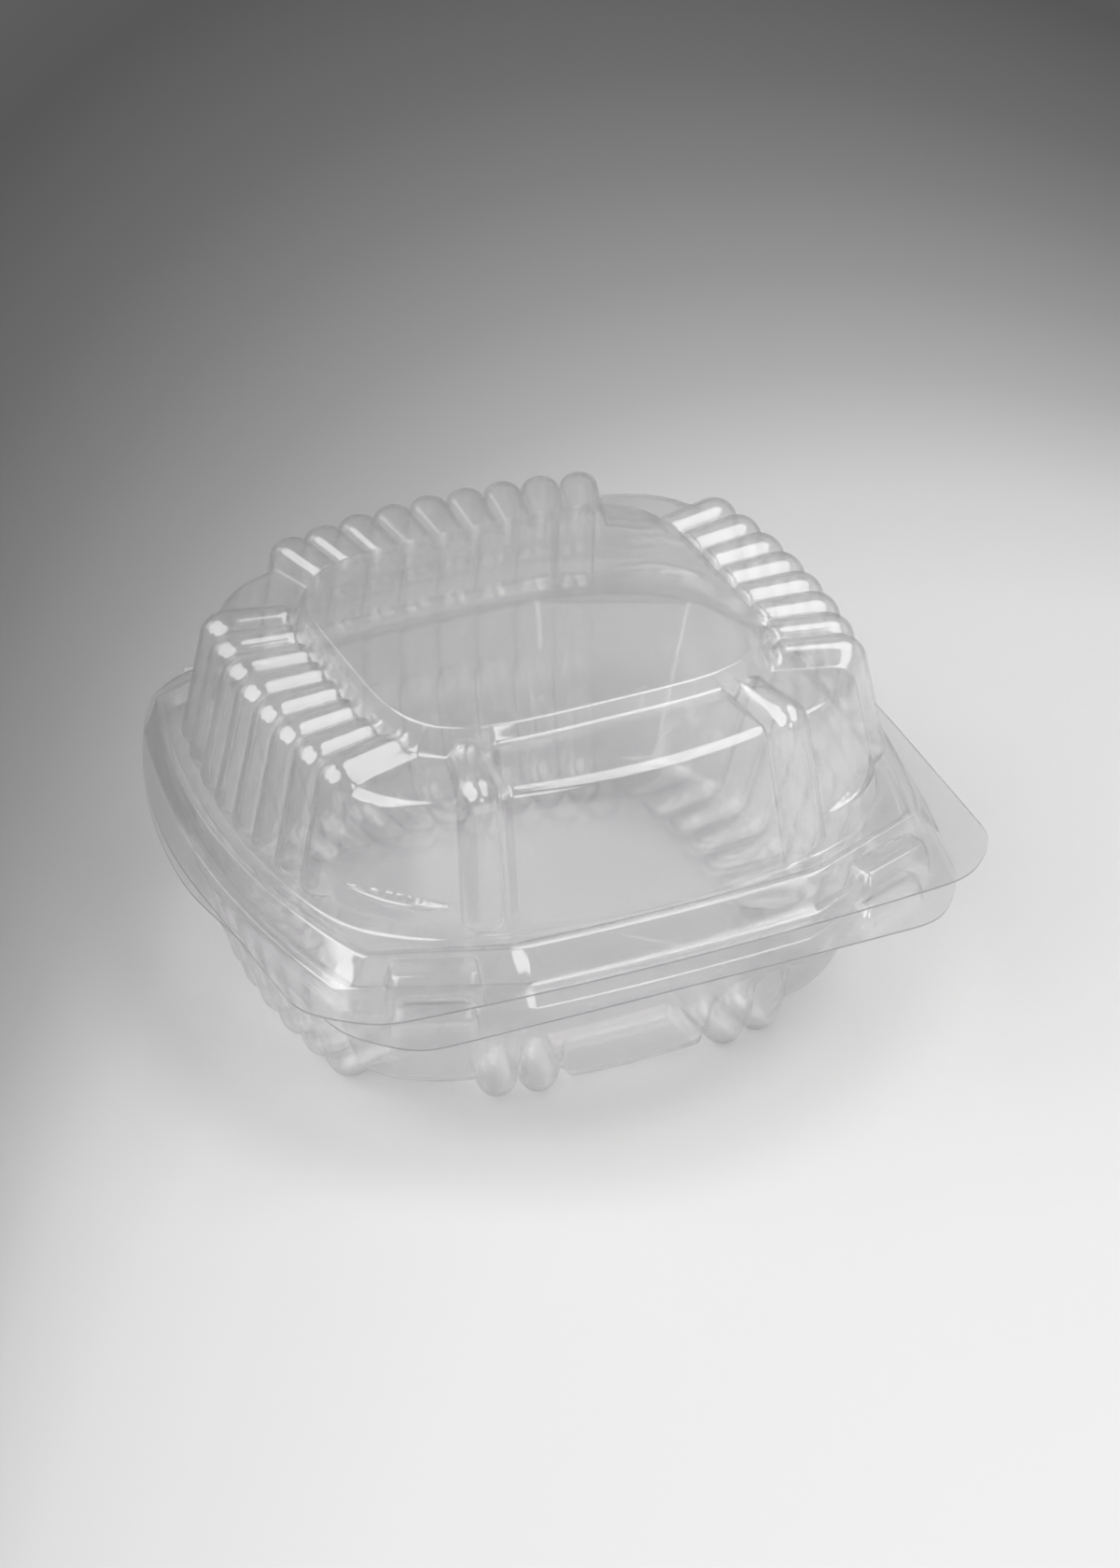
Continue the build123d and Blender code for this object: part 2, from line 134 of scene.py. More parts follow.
@dataclass(frozen=True)
class Outline:
    """A bowed square with cut corners, given by one quarter.

    The middle of each side, where the side and the front stop at the corner cut, the corner rounding, and how
    much wider the sides stop at the front.
    """

    half_x: float
    half_y: float
    side_x: float
    side_y: float
    end_x: float
    end_y: float
    corner: float
    flare: float = 0.0

    def inset(self, gap: float) -> "Outline":
        """The outline moved inwards by a gap."""
        sizes = (self.half_x, self.half_y, self.side_x, self.side_y, self.end_x, self.end_y)
        return Outline(*(size - gap for size in sizes), max(self.corner - gap, 0.5), self.flare)

    def loop(self) -> np.ndarray:
        """Even points round the outline."""
        sx, sy, ex, ey = self.side_x, self.side_y, self.end_x, self.end_y
        wide = sx + self.flare
        runs = [
            arc((sx, sy), (self.half_x, 0), (wide, -sy)),
            arc((ex, -ey), (0, -self.half_y), (-ex, -ey)),
            arc((-wide, -sy), (-self.half_x, 0), (-sx, sy)),
            arc((-ex, ey), (0, self.half_y), (ex, ey)),
        ]
        return soften(resample(np.vstack(runs)), self.corner)


@dataclass(frozen=True)
class Squircle:
    """A rounded square whose sides bow outwards."""

    half_x: float
    half_y: float
    power: float = 4.2

    def loop(self) -> np.ndarray:
        """Even points round the outline."""
        turn = np.linspace(0, 2 * np.pi, 4000, endpoint=False)
        c, s = np.cos(turn), np.sin(turn)
        x = self.half_x * np.sign(c) * np.abs(c) ** (2 / self.power)
        y = self.half_y * np.sign(s) * np.abs(s) ** (2 / self.power)
        return resample(np.column_stack([x, y]))


@dataclass(frozen=True)
class FlangeEdge:
    """The cut edge of a flange, given by its right half from the hinge to the middle of the front."""

    hinge_y: float
    tab_side: Point
    tab_front: Point
    widest: Point
    hinge_half: float = 48.0
    corner: Point = (58.0, 62.5)
    side: Point = (73.4, 22.5)
    front_y: float = 70.5
    rounding: float = 9.0

    def loop(self) -> np.ndarray:
        """Even points round the edge."""
        right = [
            np.array([(self.hinge_half, self.hinge_y)]),
            arc(self.corner, self.side, self.widest),
            np.array([self.widest, self.tab_side]),
        ]
        front = arc(self.tab_front, (0, -self.front_y), (-self.tab_front[0], self.tab_front[1]))
        left = [np.flip(run, axis=0) * (-1, 1) for run in reversed(right)]
        return soften(resample(np.vstack(right + [front] + left)), self.rounding)


# Guides: lines in plan, from the middle outwards, that every ring of a shell is sampled on

@dataclass(frozen=True)
class Fan:
    """Rays that spread from a centre about a heading."""

    centre: Point
    heading: float

    def ray(self, turn: np.ndarray) -> tuple[np.ndarray, np.ndarray]:
        """Rays of the fan.

        Args:
            turn: their turns from the heading.

        Returns:
            Where they start, and their directions.
        """
        angle = self.heading + turn
        way = np.column_stack([np.cos(angle), np.sin(angle)])
        return np.broadcast_to(np.array(self.centre, float), way.shape), way


@dataclass
class Row:
    """Ribs along one wall.

    Turns of their middles, half their angle, where they stop on the wall, the shares of their height on the
    shelf and on the wall, whether the shelf is lifted under them and how far, and how far the row's last flanks
    spread.
    """

    middles: np.ndarray
    half: float
    stop: float
    shelf_share: float = 1.0
    wall_share: float = 0.95
    lifts: bool = True
    rise: float = 0.0
    flank: float = 1.0

    @property
    def outer(self) -> float:
        """The turn of the last rib's middle."""
        return np.max(np.abs(self.middles))

    def spread(self, count: int) -> list[np.ndarray]:
        """What a number of guides take from the row: stop, shares and rise."""
        return [np.full(count, value) for value in (self.stop, self.shelf_share, self.wall_share, self.rise)]


@dataclass
class Side:
    """One wall of a shell: its fan, its ribs, half its angle, and half the angle of its smooth panel."""

    fan: Fan
    row: Row
    half: float
    panel: float = 0.0


# How guides are spread: numbers of steps, shares of a rib's half angle, and turns in radians
RIB_STEPS = 10
CORNER_STEPS = 44
PANEL_STEPS = 21
RIB_ROUND = 0.78
FREE_ROUND = 0.45
FLANK_KNEE = np.radians(54)
FLANK_SPREAD = 0.77
FLANK_DROP = np.array([0.05, 0.11, 0.17])
LIFT_EDGE = 0.05
LIFT_FADE = 0.25
PANEL_EDGE = np.linspace(-0.014, 0.001, 7)
PANEL_FADE = 0.013
PANEL_MARGIN = 0.022
TURN_GAP = 0.0012

# How guides are kept from meeting: neighbours looked at, then smoothed over, and the share and least room kept
CROWD_NEAR = 6
CROWD_EVEN = 3
CROWD_SHARE = 0.6
CROWD_LEAST = 0.2


def crossing(origin: np.ndarray, way: np.ndarray, loop: np.ndarray) -> np.ndarray:
    """How far along each ray it last crosses a closed line.

    Args:
        origin: where the rays start.
        way: their directions.
        loop: points of the closed line.

    Returns:
        The distances.
    """
    rel = loop[None] - origin[:, None]
    rel2 = np.roll(loop, -1, axis=0)[None] - origin[:, None]
    side = way[:, None, 0] * rel[..., 1] - way[:, None, 1] * rel[..., 0]
    side2 = way[:, None, 0] * rel2[..., 1] - way[:, None, 1] * rel2[..., 0]
    share = side / np.where(np.abs(side - side2) < TINY, TINY, side - side2)
    at = rel + (rel2 - rel) * share[..., None]
    along = (at * way[:, None]).sum(-1)
    hit = (side * side2 <= 0) & (share >= 0) & (share <= 1)
    return np.where(hit, along, NOWHERE).max(axis=1)


@dataclass
class Guides:
    """The sample lines of one shell and what is raised on each of them."""

    origin: np.ndarray
    way: np.ndarray
    phase: np.ndarray
    lift: np.ndarray
    panel: np.ndarray
    corner: np.ndarray
    stop: np.ndarray
    shelf_share: np.ndarray
    wall_share: np.ndarray
    rise: np.ndarray

    def reach(self, loop: np.ndarray) -> np.ndarray:
        """Distance along each guide to where it crosses a closed line."""
        return crossing(self.origin, self.way, loop)


def rib_curve(swing: np.ndarray, rounding: np.ndarray | float) -> np.ndarray:
    """Share of a rib's half angle at each phase, from even steps (0) to steps close at its foot (1)."""
    return rounding * np.sin(swing) + (1 - rounding) * swing * 2 / np.pi


def side_turns(side: Side) -> tuple[np.ndarray, np.ndarray]:
    """Sample turns along a wall, dense where the ribs and the panel's edges are.

    Args:
        side: the wall.

    Returns:
        Turns from one end to the other, and the rib phase at each (a quarter turn off the ribs).
    """
    row = side.row
    swing = np.linspace(-np.pi / 2, np.pi / 2, RIB_STEPS + 1)
    knee = rib_curve(FLANK_KNEE, FREE_ROUND)
    flank = np.sign(swing) * (knee + FLANK_SPREAD * (np.cos(FLANK_KNEE) - np.cos(swing)))
    turns, phases = [], []
    for middle in row.middles:
        last = (row.flank > 1) & (np.abs(middle) > row.outer - TURN_GAP)
        free = last & (swing * np.sign(middle) > 0)
        bulge = rib_curve(swing, np.where(free, FREE_ROUND, RIB_ROUND))
        turns.append(middle + row.half * np.where(free & (np.abs(swing) > FLANK_KNEE), flank, bulge))
        phases.append(swing)
    turn, phase = np.concatenate(turns), np.concatenate(phases)
    extra = [np.array([-side.half, side.half])]
    if row.lifts:
        drop = row.outer + row.half * (row.flank + FLANK_DROP)
        extra += [drop, -drop]
    if side.panel:
        flat = side.panel - PANEL_MARGIN
        extra += [side.panel + PANEL_EDGE, -side.panel - PANEL_EDGE, np.linspace(-flat, flat, PANEL_STEPS)]
    for value in np.concatenate(extra):
        on_rib = np.any(np.abs(row.middles - value) < row.half)
        if not on_rib and np.min(np.abs(turn - value)) > TURN_GAP:
            turn, phase = np.append(turn, value), np.append(phase, np.pi / 2)
    order = np.argsort(turn, kind="stable")
    turn, phase = turn[order], phase[order]
    keep = np.concatenate([[True], np.diff(turn) > 1e-6])
    return turn[keep], phase[keep]


def ease(value: np.ndarray) -> np.ndarray:
    """A smooth step from 0 to 1."""
    v = np.clip(value, 0, 1)
    return v * v * (3 - 2 * v)


def nose(value: np.ndarray) -> np.ndarray:
    """A round end: a quarter ellipse from 0 to 1."""
    return np.sqrt(1 - (1 - np.clip(value, 0, 1)) ** 2)


def ball_ends(phase: np.ndarray, begin: np.ndarray, finish: np.ndarray) -> np.ndarray:
    """Share of a rib's height where its two ends are rounded like balls.

    Args:
        phase: the rib phase on each guide.
        begin: distance from the inner end, in end radii.
        finish: distance from the outer end, in end radii.

    Returns:
        The share, 1 away from the ends.
    """
    crest = np.maximum(np.cos(phase), 1e-6)
    short = (1 - np.clip(begin, 0, 1)) ** 2 + (1 - np.clip(finish, 0, 1)) ** 2
    return np.sqrt(np.clip(crest**2 - short, 0, None)) / crest


def loop_place(loop: np.ndarray, spot: np.ndarray) -> float:
    """Where on a closed line a point lies, counted in the line's points.

    Args:
        loop: points of the closed line.
        spot: a point on it.

    Returns:
        The index, with the part of a step.
    """
    step = np.roll(loop, -1, 0) - loop
    part = np.clip(((spot - loop) * step).sum(1) / (step**2).sum(1), 0, 1)
    near = int(np.argmin(np.linalg.norm(loop + step * part[:, None] - spot, axis=1)))
    return near + float(part[near])


def along_loop(loop: np.ndarray, first: np.ndarray, last: np.ndarray, share: np.ndarray) -> np.ndarray:
    """Points at even shares of the shorter way along a closed line.

    Args:
        loop: even points of the closed line.
        first: where the way starts.
        last: where it ends.
        share: how far along it each point lies.

    Returns:
        The points.
    """
    count = len(loop)
    start, stop = loop_place(loop, first), loop_place(loop, last)
    way = (stop - start + count / 2) % count - count / 2
    at = (start + way * share) % count
    low = at.astype(int)
    part = (at - low)[:, None]
    return loop[low] * (1 - part) + loop[(low + 1) % count] * part


def wall_guides(side: Side, inner: np.ndarray) -> Guides:
    """Guides across one wall.

    Args:
        side: the wall.
        inner: the closed line in the middle on which the guides start.

    Returns:
        The guides, clockwise.
    """
    turn, phase = (values[::-1] for values in side_turns(side))
    start, way = side.fan.ray(turn)
    spot = start + way * crossing(start, way, inner)[:, None]
    row, flat = side.row, np.zeros(len(turn))
    past = np.abs(turn) - row.outer - row.half * (row.flank - LIFT_EDGE)
    lift = 1 - ease(past / (row.half * LIFT_FADE)) if row.lifts else flat
    panel = ease((side.panel - np.abs(turn)) / PANEL_FADE) if side.panel else flat
    return Guides(spot, way, phase, lift, panel, flat, *row.spread(len(turn)))


def corner_guides(before: Guides, after: Guides, row: Row, inner: np.ndarray) -> Guides:
    """Guides fanned round the corner between two walls.

    Args:
        before: the guides of the wall before the corner.
        after: those of the wall after it.
        row: the ribs of the wall before.
        inner: the closed line in the middle on which the guides start.

    Returns:
        The guides, clockwise.
    """
    share = np.linspace(0, 1, CORNER_STEPS + 2)[1:-1]
    first, last = np.angle(complex(*before.way[-1])), np.angle(complex(*after.way[0]))
    angle = first + ((last - first + np.pi) % (2 * np.pi) - np.pi) * share
    way = np.column_stack([np.cos(angle), np.sin(angle)])
    spot = along_loop(inner, before.origin[-1], after.origin[0], share)
    flat = np.zeros(len(share))
    return Guides(spot, way, flat + np.pi / 2, flat, flat, share, *row.spread(len(share)))


def make_guides(sides: list[Side], inner: np.ndarray) -> Guides:
    """Guides round a shell: four walls clockwise from the right one, with fanned corners between.

    Args:
        sides: right, front, left and back walls.
        inner: the closed line in the middle on which the guides start.

    Returns:
        The guides.
    """
    walls = [wall_guides(side, inner) for side in sides]
    parts = []
    for side, wall, after in zip(sides, walls, walls[1:] + walls[:1]):
        parts += [wall, corner_guides(wall, after, side.row, inner)]
    return Guides(*(np.concatenate([getattr(part, item.name) for part in parts]) for item in fields(Guides)))


def crowd_room(guides: Guides, most: float) -> np.ndarray:
    """How far inwards each guide may be followed before it meets its neighbours.

    Args:
        guides: the guides.
        most: the largest distance wanted.

    Returns:
        The distance on each guide.
    """
    after, turned = np.roll(guides.origin, -1, 0), np.roll(guides.way, -1, 0)
    gap = np.linalg.norm(after - guides.origin, axis=1)
    turn = np.abs(guides.way[:, 0] * turned[:, 1] - guides.way[:, 1] * turned[:, 0])
    room = gap / (turn + 1e-3)
    near = np.min([np.roll(room, step) for step in range(-CROWD_NEAR, CROWD_NEAR + 1)], axis=0)
    even = np.mean([np.roll(near, step) for step in range(-CROWD_EVEN, CROWD_EVEN + 1)], axis=0)
    return np.clip(CROWD_SHARE * even, CROWD_LEAST, most)


# Profiles: what a shell does along a guide

ROUND_SHARE = 0.45


@dataclass
class Bend:
    """A corner of the profile: distance and level on each guide, rounding, and steps round it."""

    along: np.ndarray
    level: np.ndarray
    radius: float | np.ndarray
    steps: int
    run: tuple = ()


@dataclass
class Rows:
    """Profile rows: distance, level and normal on each guide, and which stretch each row is on."""

    along: list = field(default_factory=list)
    level: list = field(default_factory=list)
    normal: list = field(default_factory=list)
    stretch: list = field(default_factory=list)

    def put(self, spot: np.ndarray, way: np.ndarray, stretch: float) -> None:
        """Add a row.

        Args:
            spot: distance and level on each guide.
            way: the profile's direction of travel there.
            stretch: which stretch of the profile the row is on.
        """
        unit = way / np.linalg.norm(way, axis=1, keepdims=True)
        self.along.append(spot[:, 0])
        self.level.append(spot[:, 1])
        self.normal.append(np.column_stack([-unit[:, 1], unit[:, 0]]))
        self.stretch.append(stretch)


def trace(bends: list[Bend]) -> Rows:
    """Rows along a profile with rounded corners.

    Args:
        bends: the profile's corners in order; the first and last are its ends. A bend's run holds the shares
            of the straight after it at which there are further rows.

    Returns:
        The rows.
    """
    spots = [np.column_stack([b.along, np.broadcast_to(b.level, b.along.shape)]) for b in bends]
    rows = Rows()
    leave = spots[0]
    rows.put(leave, spots[1] - spots[0], 0.0)
    for index in range(1, len(bends)):
        bend, here = bends[index], spots[index]
        before = here - spots[index - 1]
        length = np.linalg.norm(before, axis=1, keepdims=True)
        if index == len(bends) - 1:
            join, depart = here, here
        else:
            after = spots[index + 1] - here
            length2 = np.linalg.norm(after, axis=1, keepdims=True)
            turn = np.arccos(np.clip((before * after).sum(1, keepdims=True) / (length * length2), -1, 1))
            cut = np.reshape(bend.radius, (-1, 1)) * np.tan(turn / 2)
            cut = np.minimum(cut, ROUND_SHARE * np.minimum(length, length2))
            join, depart = here - before / length * cut, here + after / length2 * cut
        for share in bends[index - 1].run:
            rows.put(leave + (join - leave) * share, join - leave, index - 1 + 0.5)
        if index == len(bends) - 1:
            rows.put(here, before, float(index))
            break
        for step in np.linspace(0, 1, bend.steps + 1):
            spot = join * (1 - step) ** 2 + here * 2 * step * (1 - step) + depart * step**2
            way = (here - join) * (1 - step) + (depart - here) * step + before * 1e-9
            rows.put(spot, way, float(index))
        leave = depart
    return rows


# Meshes

def to_mesh(name: str, points: np.ndarray, faces: list[tuple]) -> bpy.types.Object:
    """Make a mesh object.

    Args:
        name: its name.
        points: its points in millimetres.
        faces: its faces.

    Returns:
        The object, linked to the scene.
    """
    mesh = bpy.data.meshes.new(name)
    mesh.from_pydata((points * MM).tolist(), [], faces)
    mesh.update()
    piece = bpy.data.objects.new(name, mesh)
    bpy.context.scene.collection.objects.link(piece)
    return piece


def store(piece: bpy.types.Object, name: str, values: np.ndarray) -> None:
    """Write an attribute on a piece's points.

    Args:
        piece: the piece.
        name: the attribute's name.
        values: a number or a vector for each point.
    """
    vector = values.ndim == 2
    data = piece.data.attributes.new(name, "FLOAT_VECTOR" if vector else "FLOAT", "POINT").data
    data.foreach_set("vector" if vector else "value", np.ascontiguousarray(values, np.float32).ravel())


def raise_tree() -> bpy.types.NodeTree:
    """Geometry Nodes that push ribs, panel and lugs out of a plain formed sheet.

    Returns:
        The tree. Each form's height is an input; where it stands comes from the sheet's attributes.
    """
    tree = bpy.data.node_groups.new("raise_forms", "GeometryNodeTree")
    face = tree.interface
    face.new_socket("Geometry", in_out="INPUT", socket_type="NodeSocketGeometry")
    for label in ("Rib Height", "Panel Height", "Lug Height"):
        face.new_socket(label, in_out="INPUT", socket_type="NodeSocketFloat")
    face.new_socket("Material", in_out="INPUT", socket_type="NodeSocketMaterial")
    face.new_socket("Geometry", in_out="OUTPUT", socket_type="NodeSocketGeometry")
    node, link = tree.nodes.new, tree.links.new
    entry, leave = node("NodeGroupInput"), node("NodeGroupOutput")

    def stored(name: str, kind: str = "FLOAT") -> bpy.types.NodeSocket:
        """The output of a named attribute."""
        item = node("GeometryNodeInputNamedAttribute")
        item.data_type = kind
        item.inputs["Name"].default_value = name
        return item.outputs["Attribute"]

    def maths(kind: str, a: bpy.types.NodeSocket,
              b: bpy.types.NodeSocket | None = None) -> bpy.types.NodeSocket:
        """The output of a math node."""
        item = node("ShaderNodeMath")
        item.operation = kind
        link(a, item.inputs[0])
        if b is not None:
            link(b, item.inputs[1])
        return item.outputs[0]

    rib = maths("MULTIPLY", maths("COSINE", stored("phase")), stored("reach"))
    total = maths("MULTIPLY", rib, entry.outputs["Rib Height"])
    for name, label in (("panel", "Panel Height"), ("lug", "Lug Height")):
        total = maths("ADD", total, maths("MULTIPLY", stored(name), entry.outputs[label]))
    scale = node("ShaderNodeVectorMath")
    scale.operation = "SCALE"
    link(stored("out", "FLOAT_VECTOR"), scale.inputs[0])
    link(total, scale.inputs["Scale"])
    move = node("GeometryNodeSetPosition")
    real = node("GeometryNodeRealizeInstances")
    paint = node("GeometryNodeSetMaterial")
    link(scale.outputs[0], move.inputs["Offset"])
    link(entry.outputs["Material"], paint.inputs["Material"])
    chain = (entry, move, real, paint, leave)
    for first, second in zip(chain, chain[1:]):
        link(first.outputs["Geometry"], second.inputs["Geometry"])
    return tree


def settle(piece: bpy.types.Object, change: bpy.types.Modifier) -> None:
    """Keep what a modifier makes as the piece's plain mesh.

    Args:
        piece: the piece.
        change: its modifier, which is removed.
    """
    graph = bpy.context.evaluated_depsgraph_get()
    mesh = bpy.data.meshes.new_from_object(piece.evaluated_get(graph))
    piece.modifiers.remove(change)
    piece.data = mesh
    mesh.name = piece.name


def run_tree(piece: bpy.types.Object, tree: bpy.types.NodeTree, values: dict[str, object]) -> None:
    """Run a Geometry Nodes tree on a piece and keep the result as its plain mesh.

    Args:
        piece: the object whose mesh is changed.
        tree: the tree.
        values: input names and their values.
    """
    forms = piece.modifiers.new("forms", "NODES")
    forms.node_group = tree
    for item in tree.interface.items_tree:
        if item.in_out == "INPUT" and item.name in values:
            forms[item.identifier] = values[item.name]
    piece.update_tag()
    settle(piece, forms)


def smooth_all(piece: bpy.types.Object) -> None:
    """Shade a piece smooth, apart from its cut edges and creases."""
    piece.data.polygons.foreach_set("use_smooth", [True] * len(piece.data.polygons))
    piece.data.set_sharp_from_angle(angle=CREASE)


def thicken(piece: bpy.types.Object, sheet: float, edge: bpy.types.Material) -> None:
    """Give a formed sheet its thickness, inwards from the face it was formed on.

    Args:
        piece: the sheet.
        sheet: its thickness.
        edge: the finish of its cut edge.
    """
    piece.data.materials.append(edge)
    wall = piece.modifiers.new("sheet", "SOLIDIFY")
    wall.material_offset_rim = 1
    wall.thickness = sheet * MM
    wall.offset = -1.0
    settle(piece, wall)


def grid_faces(rows: int, count: int, flip: bool) -> list[tuple]:
    """Quads of a grid of closed rings whose points run ring by ring.

    Args:
        rows: the number of rings.
        count: the points on each.
        flip: whether the quads are wound the other way.

    Returns:
        The quads.
    """
    faces = []
    for row in range(rows - 1):
        for col in range(count):
            nxt = (col + 1) % count
            quad = (row * count + col, row * count + nxt, (row + 1) * count + nxt, (row + 1) * count + col)
            faces.append(quad[::-1] if flip else quad)
    return faces


@dataclass
class SnapButton:
    """A rounded bar pressed up out of a flange in a cut front corner.

    The passage is the section of the block that opens it into the bead beside it, as steps out from the bead's
    foot and up from the flange.
    """

    x: float = 48.8
    y: float = -61.9
    angle: float = 20.5
    length: float = 20.0
    width: float = 8.8
    height: float = 6.7
    draft: float = 1.2
    rounding: float = 2.2
    top_round: float = 1.0
    slack: float = 0.9
    passage_section: tuple[Point, ...] = ((-10.0, -1.0), (-0.08, -1.0), (-2.3, 4.2), (-10.0, 4.2))
    passage_margin: float = 1.5

    def smaller(self, gap: float, drop: float) -> "SnapButton":
        """The button that fits under this one, or its hollow."""
        return replace(
            self, length=self.length - 2 * gap, width=self.width - 2 * gap, height=self.height - drop,
            top_round=max(self.top_round - gap, 0.4),
        )

    def solid(self, side: int, level: float, depth: float) -> tuple[np.ndarray, list[tuple]]:
        """Points and faces of the button on one side, as a closed block.

        Args:
            side: 1 for the right corner, -1 for the left.
            level: the flange's top.
            depth: how far the block goes down below that.

        Returns:
            Points in millimetres, and faces.
        """
        stages = [(0.0, -depth), (0.0, 0.0), (self.draft * self.slack, self.height - self.top_round)]
        for a in np.linspace(0, np.pi / 2, 7)[1:]:
            lean = self.draft + self.top_round * (1 - np.cos(a)) * self.slack
            stages.append((lean, self.height - self.top_round * (1 - np.sin(a))))
        stages.append((self.draft + self.top_round + self.slack, self.height))
        rings = [self._ring(inset, level + rise) for inset, rise in stages]
        count = len(rings[0])
        points = np.vstack(rings)
        faces = grid_faces(len(rings), count, False)
        faces.append(tuple(range((len(rings) - 1) * count, len(rings) * count)))
        faces.append(tuple(range(count - 1, -1, -1)))
        angle = np.radians(self.angle * side)
        x = points[:, 0] * np.cos(angle) - points[:, 1] * np.sin(angle) + side * self.x
        y = points[:, 0] * np.sin(angle) + points[:, 1] * np.cos(angle) + self.y
        return np.column_stack([x, y, points[:, 2]]), faces

    def _ring(self, inset: float, level: float) -> np.ndarray:
        """One rounded rectangle of the button's wall.

        Args:
            inset: how far it lies inside the button's foot.
            level: its level.

        Returns:
            Its points.
        """
        half_x, half_y = self.length / 2 - inset, self.width / 2 - inset
        rounding = max(self.rounding - inset * 0.5, 0.4)
        spots = []
        for cx, cy, begin in ((1, 1, 0), (-1, 1, 90), (-1, -1, 180), (1, -1, 270)):
            for a in np.radians(begin + np.linspace(0, 90, 7)):
                x = cx * (half_x - rounding) + rounding * np.cos(a)
                spots.append((x, cy * (half_y - rounding) + rounding * np.sin(a), level))
        return np.array(spots)

    def passage(self, side: int, level: float, foot: Outline) -> tuple[np.ndarray, list[tuple]]:
        """A block that opens the button into the hollow of the bead beside it.

        Args:
            side: 1 for the right corner, -1 for the left.
            level: the flange's top.
            foot: the foot of the bead.

        Returns:
            Points in millimetres, and faces.
        """
        near = np.array((foot.end_x, -foot.end_y))
        along = np.array((foot.side_x + foot.flare, -foot.side_y)) - near
        along /= np.linalg.norm(along)
        out = np.array((along[1], -along[0]))
        middle = near + along * ((self.x, self.y) - near).dot(along)
        half = self.length / 2 + self.passage_margin
        points = []
        for run in (-half, half):
            for step, rise in self.passage_section:
                x, y = middle + along * run + out * step
                points.append((side * x, y, level + rise))
        faces = [(0, 1, 2, 3), (7, 6, 5, 4), (0, 4, 5, 1), (1, 5, 6, 2), (2, 6, 7, 3), (3, 7, 4, 0)]
        return np.array(points), faces if side > 0 else [face[::-1] for face in faces]

    def press(self, piece: bpy.types.Object, level: float, place: Turn | None = None,
              bead: Outline | None = None) -> None:
        """Press the two buttons up out of a thick sheet.

        Args:
            piece: the closed sheet.
            level: its flange's top.
            place: an optional turn applied to the buttons.
            bead: the foot of a bead that the buttons open into.
        """
        hollow = self.smaller(SHEET, SHEET)
        for side in (-1, 1):
            carve(piece, *self.solid(side, level, SHEET * 0.6), "UNION", place)
            carve(piece, *hollow.solid(side, level, SHEET * 3), "DIFFERENCE", place)
            if bead:
                carve(piece, *self.passage(side, level, bead), "DIFFERENCE", place)


def carve(piece: bpy.types.Object, points: np.ndarray, faces: list[tuple], kind: str,
          place: Turn | None) -> None:
    """Join a block to a closed piece, or cut it out.

    Args:
        piece: the piece to change.
        points: the block's points in millimetres.
        faces: the block's faces.
        kind: UNION or DIFFERENCE.
        place: an optional turn applied to the block.
    """
    tool = to_mesh("tool", place(points) if place else points, faces)
    for finish in piece.data.materials:
        tool.data.materials.append(finish)
    cut = piece.modifiers.new("cut", "BOOLEAN")
    cut.operation = kind
    cut.solver = "MANIFOLD"
    cut.object = tool
    settle(piece, cut)
    bpy.data.objects.remove(tool)


def turn_lid(points: np.ndarray) -> np.ndarray:
    """Turn the shut lid about the hinge to where it stands ajar.

    Args:
        points: points of the shut lid.

    Returns:
        The turned points.
    """
    y, z = points[:, 1] - HINGE_Y, points[:, 2] - HINGE_Z
    c, s = np.cos(AJAR), np.sin(AJAR)
    return np.column_stack([points[:, 0], HINGE_Y + y * c + z * s, HINGE_Z - y * s + z * c])


# Outlines shared by the two shells

BEAD_TOP = Outline(69.7, 64.0, 60.2, 53.3, 33.8, 62.8, 0.9)
BEAD_FOOT = Outline(71.9, 67.6, 63.4, 52.6, 31.4, 66.8, 0.9, 2.4)
RIM_CLEARANCE = 0.5
PITCH = 0.07
SIDE_CENTRE = 64.0
BACK_CENTRE = 63.0
FRONT_CENTRE = 91.7
FRONT_HALF = 0.268
BACK_HALF = 0.322
HUB_SHARES = (0.4, 0.75)


def fanned(count: int) -> np.ndarray:
    """Turns of the middles of a row of ribs that touch."""
    return (np.arange(count) - (count - 1) / 2) * PITCH


